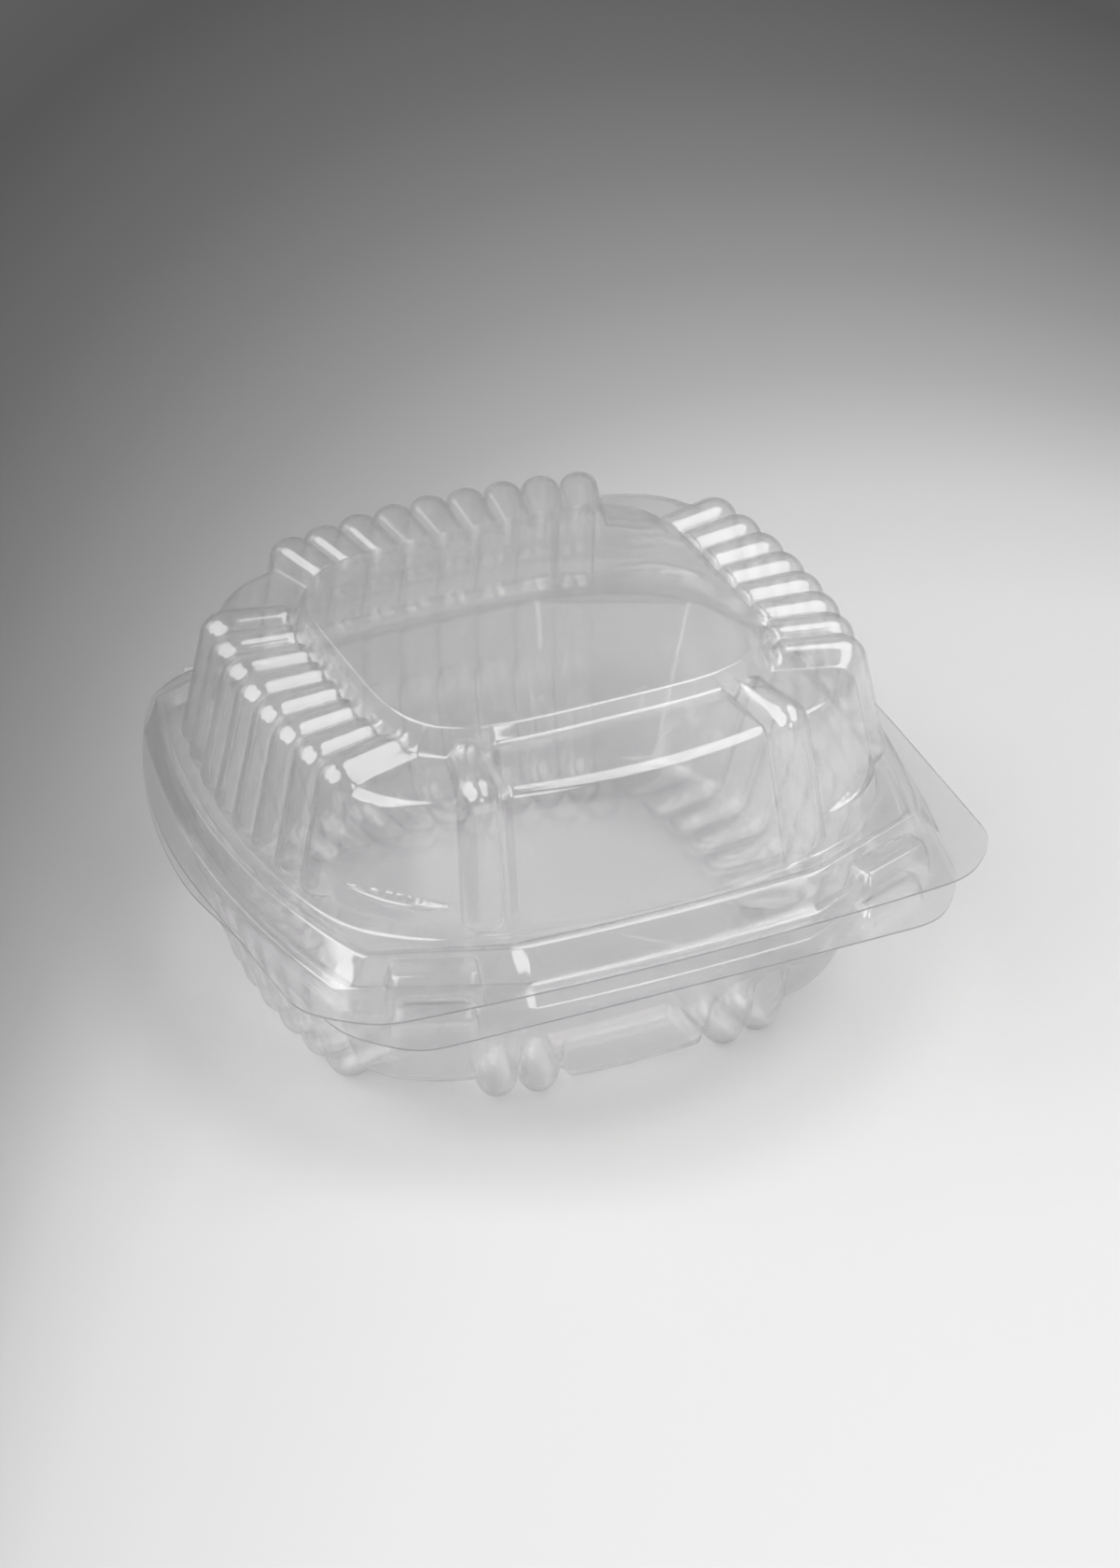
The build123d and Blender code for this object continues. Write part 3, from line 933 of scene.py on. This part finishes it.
@dataclass
class Shell:
    """What the lid and the tray have in common: guides, profile rows and the sheet they make."""

    name: str
    body: Body
    node: str
    rib_height: float = 3.5
    panel_height: float = 1.0
    lug_height: float = 1.9

    def sides(self) -> list[Side]:
        """Right, front, left and back walls."""
        raise NotImplementedError

    def walls(self, side: Row, front: Row, back: Row, half: float, panel: float) -> list[Side]:
        """Stand rows of ribs round the shell.

        Args:
            side: the row on the right and on the left.
            front: the front row.
            back: the back row.
            half: half the angle of the right and left walls.
            panel: half the angle of the smooth panel at the front.

        Returns:
            Right, front, left and back walls.
        """
        return [
            Side(Fan((-SIDE_CENTRE, 0), 0.0), side, half),
            Side(Fan((0, FRONT_CENTRE), -np.pi / 2), front, FRONT_HALF, panel),
            Side(Fan((SIDE_CENTRE, 0), np.pi), side, half),
            Side(Fan((0, -BACK_CENTRE), np.pi / 2), back, BACK_HALF),
        ]

    def build(self, tree: bpy.types.NodeTree, finish: bpy.types.Material,
              edge: bpy.types.Material) -> bpy.types.Object:
        """Make the shell's sheet, raise its forms and give it thickness."""
        raise NotImplementedError

    def sheet(self, guides: Guides, rows: Rows, forms: dict[str, list], centre: float,
              flip: Callable[[np.ndarray, bool], np.ndarray], reverse: bool) -> bpy.types.Object:
        """A plain formed sheet with the attributes that the forms are raised by.

        Args:
            guides: the sample lines.
            rows: the profile rows on them.
            forms: attribute name to one array of values for each row.
            centre: level of the middle.
            flip: turns points and directions from profile space into the model's frame.
            reverse: whether faces are wound the other way.

        Returns:
            The sheet.
        """
        count = len(guides.phase)
        rings, outs = [], []
        for share in HUB_SHARES:
            flat = guides.origin * share
            rings.append(np.column_stack([flat, np.full(count, centre)]))
            outs.append(np.tile((0.0, 0.0, 1.0), (count, 1)))
        for along, level, normal in zip(rows.along, rows.level, rows.normal):
            spot = guides.origin + guides.way * along[:, None]
            rings.append(np.column_stack([spot, level]))
            outs.append(np.column_stack([guides.way * normal[:, :1], normal[:, 1]]))
        points = np.vstack([*rings, [(0.0, 0.0, centre)]])
        out = np.vstack([*outs, [(0.0, 0.0, 1.0)]])
        faces = grid_faces(len(rings), count, reverse)
        hub = len(points) - 1
        for col in range(count):
            tri = (hub, (col + 1) % count, col)
            faces.append(tri[::-1] if reverse else tri)
        piece = to_mesh(self.name, flip(points, True), faces)
        store(piece, "out", flip(out, False) * MM)
        store(piece, "phase", np.concatenate([np.tile(guides.phase, len(rings)), [np.pi / 2]]))
        for key, values in forms.items():
            store(piece, key, np.concatenate([np.zeros(len(HUB_SHARES) * count), *values, [0.0]]))
        return piece

    def form(self, piece: bpy.types.Object, tree: bpy.types.NodeTree, finish: bpy.types.Material,
             edge: bpy.types.Material) -> None:
        """Raise the forms of a plain sheet and give it thickness.

        Args:
            piece: the sheet.
            tree: the Geometry Nodes tree that raises the forms.
            finish: the sheet's material.
            edge: the material of its cut edge.
        """
        run_tree(piece, tree, {
            "Rib Height": self.rib_height, "Panel Height": self.panel_height, "Lug Height": self.lug_height,
            "Material": finish,
        })
        thicken(piece, SHEET, edge)

    def dress(self, piece: bpy.types.Object) -> None:
        """Hide the imported part of its node and tie the finished piece to its body."""
        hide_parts(self.node)
        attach(piece, self.body.value)


@dataclass
class Lid(Shell):
    """The domed upper shell, modelled shut and then turned ajar.

    Levels are above its flange's underside. The tongue is where the ribs stop on the wall. A rib's nose is its
    inner end, and its tip the outer one.
    """

    name: str = "lid_shell"
    body: Body = Body.LID
    node: str = "lid"
    platform: Squircle = Squircle(40.7, 36.3)
    platform_foot: Squircle = Squircle(43.6, 37.5, 4.05)
    shelf: Outline = Outline(58.4, 52.5, 53.5, 38.6, 45.9, 44.6, 10.0)
    foot: Outline = Outline(65.0, 60.0, 58.4, 41.0, 49.0, 50.5, 14.0)
    moat: Outline = Outline(66.8, 61.4, 57.8, 50.5, 33.0, 60.0, 2.0)
    bead_inner: Outline = Outline(67.9, 62.3, 58.6, 52.2, 33.3, 61.2, 0.9)
    edge: FlangeEdge = FlangeEdge(HINGE_Y - 0.95, (75.0, -57.0), (65.0, -67.4), (76.2, -12.0))
    top: float = 40.4
    corner_shelf: float = 34.0
    side_rise: float = 0.7
    back_rise: float = 3.2
    root_rise: float = 2.0
    panel_rise: float = 3.0
    moat_level: float = 5.4
    tongue: float = 7.9
    nose_lead: float = 0.5
    nose_round: float = 2.2
    tip_round: float = 3.0
    platform_round: float = 1.3
    platform_turn: float = 0.87
    shoulder_round: float = 2.7
    rib_round: float = 0.4
    panel_round: float = -0.3
    corner_round: float = 2.6
    corner_slope: float = 1.8
    corner_shift: float = 0.15
    panel_ramp: float = 5.0
    panel_foot: float = 5.6
    panel_foot_round: float = 1.5
    lug_level: float = 13.0
    lug_tilt: float = 1.4
    lug_half: float = 1.3
    lug_margin: float = 0.06
    button: SnapButton = field(default_factory=SnapButton)

    def sides(self) -> list[Side]:
        """Right, front, left and back walls."""
        ribs = Row(fanned(8), PITCH * 0.49, self.tongue, 0.86, rise=self.side_rise, flank=1.14)
        front = Row(np.array([-0.2338, 0.2338]), 0.031, 6.4, 1.22, 0.9, False)
        back = Row(fanned(9), PITCH * 0.49, self.tongue, 0.76, rise=self.back_rise)
        return self.walls(ribs, front, back, 0.292, 0.2005)

    def build(self, tree: bpy.types.NodeTree, finish: bpy.types.Material,
              edge: bpy.types.Material) -> bpy.types.Object:
        """Make the lid.

        Args:
            tree: the Geometry Nodes tree that raises the forms.
            finish: the sheet's material.
            edge: the material of its cut edge.

        Returns:
            The finished piece.
        """
        guides = make_guides(self.sides(), self.platform.loop())
        reach = {key: guides.reach(shape.loop()) for key, shape in self._rings().items()}
        zero = np.zeros(len(guides.phase))
        shelf = self.corner_shelf + guides.rise * guides.lift
        root = self.corner_shelf + np.minimum(guides.rise, self.root_rise) * guides.lift
        inner = root + self.panel_rise * guides.panel
        flat = zero + SHEET
        inset = crowd_room(guides, self.platform_round)
        turned = np.clip(self.corner_slope * self._slant(guides) + self.corner_shift, 0, 1)
        shoulder = self.shoulder_round + self.rib_round * guides.lift + self.panel_round * guides.panel
        shoulder = shoulder + self.corner_round * turned * (1 - guides.lift)
        lug_run = tuple(np.linspace(0.64, 0.82, 17))
        wall_run = (0.15, 0.35, 0.55, *lug_run, 0.835, 0.855, 0.875, 0.895, 0.91, 0.925, 0.94, 0.96)
        rows = trace([
            Bend(-inset, zero + self.top, 0, 0),
            Bend(zero, zero + self.top, inset / self.platform_turn, 5, (0.4, 0.75)),
            Bend(reach["platform_foot"], inner, 0.9, 4, (0.06, 0.12, 0.2, 0.32, 0.5, 0.7, 0.85)),
            Bend(reach["shelf"], shelf, shoulder, 9, wall_run),
            Bend(reach["foot"], zero + self.moat_level, 1.0, 4, (0.5,)),
            Bend(reach["moat"], zero + self.moat_level, 0.7, 3),
            Bend(reach["bead_inner"], zero + BEAD_LEVEL, 0.6, 3),
            Bend(reach["bead_top"], zero + BEAD_LEVEL, 1.3, 5, (0.5,)),
            Bend(reach["bead_foot"], flat, 0.9, 4, (0.35, 0.7)),
            Bend(reach["edge"], flat, 0, 0),
        ])
        forms = self._forms(guides, rows, reach)
        piece = self.sheet(guides, rows, forms, self.top, self._place, False)
        self.form(piece, tree, finish, edge)
        self.button.press(piece, LID_BOTTOM + SHEET, turn_lid, BEAD_FOOT)
        smooth_all(piece)
        self.dress(piece)
        return piece

    def _rings(self) -> dict[str, Outline | Squircle | FlangeEdge]:
        """Named rings from the platform outwards."""
        return {
            "platform_foot": self.platform_foot, "shelf": self.shelf, "foot": self.foot, "moat": self.moat,
            "bead_inner": self.bead_inner, "bead_top": BEAD_TOP, "bead_foot": BEAD_FOOT, "edge": self.edge,
        }

    def _slant(self, guides: Guides) -> np.ndarray:
        """How much more each guide runs to the side than to the front or back."""
        return np.abs(guides.way[:, 0]) - np.abs(guides.way[:, 1])

    def _forms(self, guides: Guides, rows: Rows, reach: dict[str, np.ndarray]) -> dict[str, list]:
        """How far ribs, panel and lugs stand out.

        Args:
            guides: the sample lines.
            rows: the profile rows on them.
            reach: distance along the guides to each ring.

        Returns:
            Attribute names and their values on each row.
        """
        ribs, panels, lugs = [], [], []
        round_lug = np.clip((guides.corner - self.lug_margin) / (1 - 2 * self.lug_margin), 0, 1)
        side = np.sin(np.pi * round_lug) ** 0.7
        tilt = self.lug_level + self.lug_tilt * self._slant(guides)
        for along, level, normal, stretch in zip(rows.along, rows.level, rows.normal, rows.stretch):
            on = 1.5 <= stretch <= 4.0
            upward = np.clip(normal[:, 1], 0, 1)
            into = along - reach["platform_foot"]
            begin = (into + self.nose_lead) / self.nose_round
            ends = ball_ends(guides.phase, begin, (level - guides.stop) / self.tip_round)
            share = guides.wall_share + (guides.shelf_share - guides.wall_share) * upward
            ribs.append(ends * share * on)
            foot = nose((level - self.panel_foot) / self.panel_foot_round)
            panels.append(guides.panel * ease(into / self.panel_ramp) * on * foot)
            lens = np.clip(1 - ((level - tilt) / (self.lug_half * side + 1e-6)) ** 2, 0, 1) ** 0.6
            lugs.append(lens * side * on)
        return {"reach": ribs, "panel": panels, "lug": lugs}

    def _place(self, values: np.ndarray, spots: bool) -> np.ndarray:
        """Profile space to the model's frame, with the lid ajar."""
        if spots:
            return turn_lid(values + (0.0, 0.0, LID_BOTTOM))
        return turn_lid(values + (0.0, HINGE_Y, HINGE_Z)) - (0.0, HINGE_Y, HINGE_Z)


@dataclass
class Tray(Shell):
    """The lower shell.

    Its profile runs in depth below the flange's top, so that its outside faces up there. A rib's nose is its
    inner end, under the floor, and its tip the upper one on the wall.
    """

    name: str = "tray_shell"
    body: Body = Body.TRAY
    node: str = "base_tray"
    rib_height: float = 4.0
    lug_height: float = 0.0
    inner: Squircle = Squircle(38.5, 34.0)
    rib_start: Squircle = Squircle(41.5, 37.0)
    floor: Outline = Outline(57.5, 51.0, 51.5, 36.5, 44.8, 42.6, 11.0)
    edge: FlangeEdge = FlangeEdge(HINGE_Y, (66.8, -59.0), (57.5, -70.1), (76.0, -4.0))
    floor_depth: float = 30.0
    rim_height: float = 4.0
    rim_width: float = 1.2
    rib_top: float = 7.0
    foot_top: float = 18.0
    nose_round: float = 3.4
    tip_round: float = 4.0
    panel_start: float = 1.0
    panel_ramp: float = 3.0
    panel_top: float = 19.5
    panel_top_round: float = 1.2
    button_drop: float = 1.9
    button: SnapButton = field(default_factory=SnapButton)

    def sides(self) -> list[Side]:
        """Right, front, left and back walls."""
        ribs = Row(fanned(8), PITCH / 2, self.rib_top, 1.0, 0.72, False)
        feet = Row(np.array([-0.2033, -0.1437, 0.1437, 0.2033]), 0.0292, self.foot_top, 1.0, 0.8, False)
        back = Row(fanned(9), PITCH / 2, self.rib_top, 1.0, 0.72, False)
        return self.walls(ribs, feet, back, 0.287, 0.108)

    def build(self, tree: bpy.types.NodeTree, finish: bpy.types.Material,
              edge: bpy.types.Material) -> bpy.types.Object:
        """Make the tray.

        Args:
            tree: the Geometry Nodes tree that raises the forms.
            finish: the sheet's material.
            edge: the material of its cut edge.

        Returns:
            The finished piece.
        """
        guides = make_guides(self.sides(), self.inner.loop())
        gap = SHEET + RIM_CLEARANCE
        top = blend_outline(BEAD_FOOT, BEAD_TOP, self.rim_height / BEAD_LEVEL).inset(gap + SHEET)
        foot = BEAD_FOOT.inset(gap + SHEET)
        rings = {
            "rib_start": self.rib_start, "floor": self.floor, "rim_inner": top.inset(self.rim_width),
            "rim_top": top, "rim_foot": foot, "edge": self.edge,
        }
        reach = {key: guides.reach(shape.loop()) for key, shape in rings.items()}
        zero = np.zeros(len(guides.phase))
        rim = zero - self.rim_height + SHEET
        flat = zero + SHEET
        nose_run = (0.015, 0.035, 0.06, 0.1, 0.15, 0.22, 0.35, 0.5, 0.7, 0.85)
        wall_run = (0.08, 0.2, 0.3, 0.36, 0.42, 0.48, 0.56, 0.62, 0.68, 0.72, 0.76, 0.8, 0.88, 0.95)
        rows = trace([
            Bend(zero - 0.8, zero + self.floor_depth, 0, 0, (0.6, 0.9)),
            Bend(reach["rib_start"], zero + self.floor_depth, 0, 0, nose_run),
            Bend(reach["floor"], zero + self.floor_depth, 3.0, 8, wall_run),
            Bend(reach["rim_inner"], rim, 0.4, 3),
            Bend(reach["rim_top"], rim, 0.4, 3),
            Bend(reach["rim_foot"], flat, 0.8, 3, (0.4,)),
            Bend(reach["edge"], flat, 0, 0),
        ])
        forms = self._forms(guides, rows, reach)
        piece = self.sheet(guides, rows, forms, self.floor_depth, self._place, True)
        self.form(piece, tree, finish, edge)
        self.button.smaller(gap, self.button_drop).press(piece, FLANGE_TOP)
        self._add_fold(piece, finish)
        smooth_all(piece)
        self.dress(piece)
        return piece

    def _forms(self, guides: Guides, rows: Rows, reach: dict[str, np.ndarray]) -> dict[str, list]:
        """How far ribs and panel stand out.

        Args:
            guides: the sample lines.
            rows: the profile rows on them.
            reach: distance along the guides to each ring.

        Returns:
            Attribute names and their values on each row.
        """
        ribs, panels, lugs = [], [], []
        for along, level, normal, stretch in zip(rows.along, rows.level, rows.normal, rows.stretch):
            on = 1.0 <= stretch <= 3.0
            upward = np.clip(normal[:, 1], 0, 1)
            into = along - reach["rib_start"]
            ends = ball_ends(guides.phase, into / self.nose_round, (level - guides.stop) / self.tip_round)
            share = guides.wall_share + (guides.shelf_share - guides.wall_share) * upward
            ribs.append(ends * share * on)
            begin = nose((into - self.panel_start) / self.panel_ramp)
            finish = nose((level - self.panel_top) / self.panel_top_round)
            panels.append(guides.panel * begin * on * (1 + upward) * finish)
            lugs.append(np.zeros_like(along))
        return {"reach": ribs, "panel": panels, "lug": lugs}

    def _place(self, values: np.ndarray, spots: bool) -> np.ndarray:
        """Profile space, measured downwards, to the model's frame."""
        turned = values * (1.0, 1.0, -1.0)
        return turned + (0.0, 0.0, FLANGE_TOP) if spots else turned

    def _add_fold(self, piece: bpy.types.Object, finish: bpy.types.Material) -> None:
        """Join the rolled fold along the back edge.

        Args:
            piece: the tray.
            finish: the sheet's material.
        """
        turn = np.linspace(0, 2 * np.pi, FOLD_STEPS, endpoint=False)
        y, z = HINGE_Y + HINGE_ROLL * np.cos(turn), HINGE_Z + HINGE_ROLL * np.sin(turn)
        ring = [np.column_stack([np.full(FOLD_STEPS, x), y, z]) for x in (-HINGE_HALF, HINGE_HALF)]
        ends = [tuple(range(FOLD_STEPS)), tuple(range(2 * FOLD_STEPS - 1, FOLD_STEPS - 1, -1))]
        faces = grid_faces(2, FOLD_STEPS, True) + ends
        roll = to_mesh("roll", np.vstack(ring), faces)
        roll.data.materials.append(finish)
        with bpy.context.temp_override(active_object=piece, selected_editable_objects=[piece, roll]):
            bpy.ops.object.join()


def blend_outline(a: Outline, b: Outline, share: float) -> Outline:
    """The outline part of the way from one to another."""
    sizes = (item.name for item in fields(Outline))
    return Outline(*(getattr(a, key) + (getattr(b, key) - getattr(a, key)) * share for key in sizes))


# Finishes and stage

@dataclass(frozen=True)
class ClearSheet:
    """Clear thermoformed sheet: glossy, faintly milky, with the slight waviness of drawn plastic."""

    name: str = "clear_sheet"
    tint: tuple = (0.91, 0.905, 0.91, 1.0)
    body: float = 0.5
    clearness: float = 0.985
    roughness: float = 0.13
    index: float = 1.1
    skin: float = 1.0
    skin_index: float = 2.0
    skin_roughness: float = 0.03
    wave: float = 0.014
    wave_scale: float = 55.0
    wave_detail: float = 3.0
    wave_depth: float = 0.002

    def material(self) -> bpy.types.Material:
        """Build the node material."""
        made = bpy.data.materials.new(self.name)
        made.use_nodes = True
        tree = made.node_tree
        shader = tree.nodes["Principled BSDF"]
        values = {
            "Base Color": self.tint, "Roughness": self.roughness, "IOR": self.index, "Alpha": self.body,
            "Transmission Weight": self.clearness, "Coat Weight": self.skin, "Coat IOR": self.skin_index,
            "Coat Roughness": self.skin_roughness,
        }
        for socket, value in values.items():
            shader.inputs[socket].default_value = value
        spot = tree.nodes.new("ShaderNodeTexCoord")
        ripple = tree.nodes.new("ShaderNodeTexNoise")
        ripple.inputs["Scale"].default_value = self.wave_scale
        ripple.inputs["Detail"].default_value = self.wave_detail
        bump = tree.nodes.new("ShaderNodeBump")
        bump.inputs["Strength"].default_value = self.wave
        bump.inputs["Distance"].default_value = self.wave_depth
        tree.links.new(spot.outputs["Object"], ripple.inputs["Vector"])
        tree.links.new(ripple.outputs["Fac"], bump.inputs["Height"])
        tree.links.new(bump.outputs["Normal"], shader.inputs["Normal"])
        tree.links.new(bump.outputs["Normal"], shader.inputs["Coat Normal"])
        return made


def ramp_node(tree: bpy.types.NodeTree, stops: tuple, interpolation: str = "EASE") -> bpy.types.Node:
    """A grey colour ramp.

    Args:
        tree: the node tree to add it to.
        stops: pairs of position and grey.
        interpolation: how it runs between stops.

    Returns:
        The node.
    """
    node = tree.nodes.new("ShaderNodeValToRGB")
    ramp = node.color_ramp
    ramp.interpolation = interpolation
    while len(ramp.elements) < len(stops):
        ramp.elements.new(0.5)
    for element, (position, grey) in zip(ramp.elements, stops):
        element.position = position
        element.color = (grey, grey, grey, 1.0)
    return node


def math_node(tree: bpy.types.NodeTree, kind: str, first: object, second: object) -> bpy.types.NodeSocket:
    """A math node whose inputs are sockets or numbers.

    Args:
        tree: the node tree to add it to.
        kind: the operation.
        first: a socket or a number.
        second: a socket or a number.

    Returns:
        Its output.
    """
    node = tree.nodes.new("ShaderNodeMath")
    node.operation = kind
    for slot, value in zip(node.inputs, (first, second)):
        if isinstance(value, bpy.types.NodeSocket):
            tree.links.new(value, slot)
        else:
            slot.default_value = value
    return node.outputs[0]


@dataclass(frozen=True)
class Paper:
    """Studio paper with a soft pool of light painted into its grey. The pool's bowed edge lies behind the pack;
    it is painted light in the paper's colour, not a lamp.

    Stops are shares of the depth from near to far, with the paper's painted grey there. The painted shadow is a
    soft darker ring round the pack's foot, as shares of its reach.
    """

    heading: float = 0.148
    middle: float = 0.101
    bow: float = 4.6
    near: float = -0.2
    depth: float = 1.3
    tone: float = 0.67
    roughness: float = 0.9
    # Painted light: the paper's grey by depth, near white in front of the pack and dark behind it, a painted
    # pool of light
    stops: tuple = (
        (0.015, 0.865), (0.125, 0.83), (0.195, 0.775), (0.23, 0.73), (0.265, 0.62), (0.305, 0.41),
        (0.34, 0.295), (0.3775, 0.21), (0.415, 0.15), (0.48, 0.095), (1.0, 0.3),
    )
    # Painted shadow: a soft darker ring in the paper's grey round the pack's foot, centred here
    foot: Point = (-0.004, -0.002)
    painted_shadow_reach: float = 0.16
    painted_shadow: tuple = ((0.26, 1.0), (0.36, 0.8), (0.45, 0.88), (0.6, 1.0))

    def material(self) -> bpy.types.Material:
        """Build the node material."""
        made = bpy.data.materials.new("studio_paper_painted_light")
        made.use_nodes = True
        tree = made.node_tree
        shader = tree.nodes["Principled BSDF"]
        shader.inputs["Roughness"].default_value = self.roughness
        shader.inputs["Specular IOR Level"].default_value = 0.0
        spot = tree.nodes.new("ShaderNodeTexCoord")
        turn = tree.nodes.new("ShaderNodeMapping")
        turn.inputs["Rotation"].default_value = (0.0, 0.0, self.heading)
        turn.inputs["Location"].default_value = (-self.middle, -self.near, 0.0)
        split = tree.nodes.new("ShaderNodeSeparateXYZ")
        tree.links.new(spot.outputs["Object"], turn.inputs["Vector"])
        tree.links.new(turn.outputs["Vector"], split.inputs[0])
        square = math_node(tree, "MULTIPLY", split.outputs["X"], split.outputs["X"])
        away = math_node(tree, "ADD", split.outputs["Y"], math_node(tree, "MULTIPLY", square, self.bow))
        # Painted pool of light: the paper's grey taken from its bowed depth
        ramp = ramp_node(tree, self.stops, "LINEAR")
        tree.links.new(math_node(tree, "DIVIDE", away, self.depth), ramp.inputs["Fac"])
        reach = tree.nodes.new("ShaderNodeVectorMath")
        reach.operation = "DISTANCE"
        reach.inputs[1].default_value = (*self.foot, 0.0)
        tree.links.new(spot.outputs["Object"], reach.inputs[0])
        # Painted shadow: the darker ring round the pack's foot
        painted_shadow = ramp_node(tree, self.painted_shadow, "EASE")
        near = math_node(tree, "DIVIDE", reach.outputs["Value"], self.painted_shadow_reach)
        tree.links.new(near, painted_shadow.inputs["Fac"])
        # The painted pool of light and the painted shadow go into the paper's base colour
        painted_pool = math_node(tree, "MULTIPLY", ramp.outputs["Color"], self.tone)
        grey = math_node(tree, "MULTIPLY", painted_pool, painted_shadow.outputs["Color"])
        tree.links.new(grey, shader.inputs["Base Color"])
        return made


@dataclass(frozen=True)
class SoftPanel:
    """A round soft light far off: its direction, the angles at which it is full and gone, and its glow."""

    way: tuple
    full: float
    gone: float
    glow: float

    def nodes(self, tree: bpy.types.NodeTree, direction: bpy.types.NodeSocket) -> bpy.types.NodeSocket:
        """Add the light's nodes to the room.

        Args:
            tree: the room's node tree.
            direction: the direction looked in.

        Returns:
            How bright the light is in that direction.
        """
        toward = tree.nodes.new("ShaderNodeVectorMath")
        toward.operation = "DOT_PRODUCT"
        toward.inputs[1].default_value = Vector(self.way).normalized()
        edge = tree.nodes.new("ShaderNodeMapRange")
        edge.interpolation_type = "SMOOTHSTEP"
        edge.inputs["From Min"].default_value = np.cos(np.radians(self.gone))
        edge.inputs["From Max"].default_value = np.cos(np.radians(self.full))
        edge.inputs["To Max"].default_value = self.glow
        tree.links.new(direction, toward.inputs[0])
        tree.links.new(toward.outputs["Value"], edge.inputs["Value"])
        return edge.outputs["Result"]


@dataclass
class Studio:
    """Camera, paper floor and soft lights.

    The camera's place is in millimetres, with the directions of its picture's right, its top and its look.
    """

    spot: tuple = (-555.544, -1196.47, 949.867)
    right: tuple = (0.910319, -0.413515, 0.018011)
    up: tuple = (0.221807, 0.524104, 0.822263)
    ahead: tuple = (0.349458, 0.744527, -0.568822)
    lens: float = 256.0
    sensor: float = 36.0
    sight: float = 50.0
    paper_half: float = 3000.0
    room: float = 0.21
    bounces: int = 32
    panels: tuple = (
        SoftPanel((0.45, -0.18, 0.87), 21.0, 24.0, 3.3),
        SoftPanel((0.42, -0.60, 0.68), 17.5, 21.5, 3.0),
        SoftPanel((0.02, -0.947, 0.317), 7.0, 11.0, 3.2),
        SoftPanel((-0.67, -0.41, 0.62), 25.0, 30.0, 3.4),
        SoftPanel((-0.74, 0.19, 0.645), 25.0, 30.0, 3.3),
        SoftPanel((-0.6, 0.75, 0.27), 9.0, 14.0, 1.4),
    )

    def camera(self) -> None:
        """Place the camera where the photograph was taken from."""
        data = bpy.data.cameras.new("camera")
        data.sensor_fit = "HORIZONTAL"
        data.sensor_width = self.sensor
        data.lens = self.lens
        data.clip_end = self.sight
        view = bpy.data.objects.new("camera", data)
        axes = Matrix((self.right, self.up, [-v for v in self.ahead])).transposed().to_4x4()
        view.matrix_world = Matrix.Translation(Vector(self.spot) * MM) @ axes
        bpy.context.scene.collection.objects.link(view)
        bpy.context.scene.camera = view

    def floor(self) -> None:
        """Lay the paper."""
        points = np.array([(-1, -1, 0), (1, -1, 0), (1, 1, 0), (-1, 1, 0)]) * self.paper_half
        paper = to_mesh("paper", points, [(0, 1, 2, 3)])
        paper.data.materials.append(Paper().material())

    def world(self) -> None:
        """A soft dim room with broad bright panels in it."""
        sky = bpy.data.worlds.new("studio")
        sky.use_nodes = True
        tree = sky.node_tree
        spot = tree.nodes.new("ShaderNodeTexCoord")
        total: object = self.room
        for panel in self.panels:
            total = math_node(tree, "MAXIMUM", panel.nodes(tree, spot.outputs["Generated"]), total)
        tree.links.new(total, tree.nodes["Background"].inputs["Strength"])
        tree.nodes["Background"].inputs["Color"].default_value = (1.0, 1.0, 1.0, 1.0)
        bpy.context.scene.world = sky

    def build(self) -> None:
        """Set up the whole stage."""
        self.camera()
        self.floor()
        self.world()
        scene = bpy.context.scene
        scene.cycles.max_bounces = self.bounces
        scene.cycles.transmission_bounces = self.bounces
        scene.cycles.transparent_max_bounces = self.bounces
        scene.cycles.blur_glossy = 0.0
        scene.view_settings.view_transform = "Standard"


def main() -> None:
    """Build the pack and its stage."""
    logging.basicConfig(level=logging.INFO)
    sheet = ClearSheet().material()
    # The cut edge's dark grey tint is painted shading: it stands in for the dark look light gives a clear
    # sheet's cut edge, not a colour of the plastic
    edge = ClearSheet("cut_edge_painted_shading", (0.25, 0.25, 0.26, 1.0), 0.85, 0.7).material()
    tree = raise_tree()
    for shell in (Tray(), Lid()):
        piece = shell.build(tree, sheet, edge)
        LOG.info("%s: %d points, %d faces", piece.name, len(piece.data.vertices), len(piece.data.polygons))
    Studio().build()


if __name__ == "__main__":
    main()
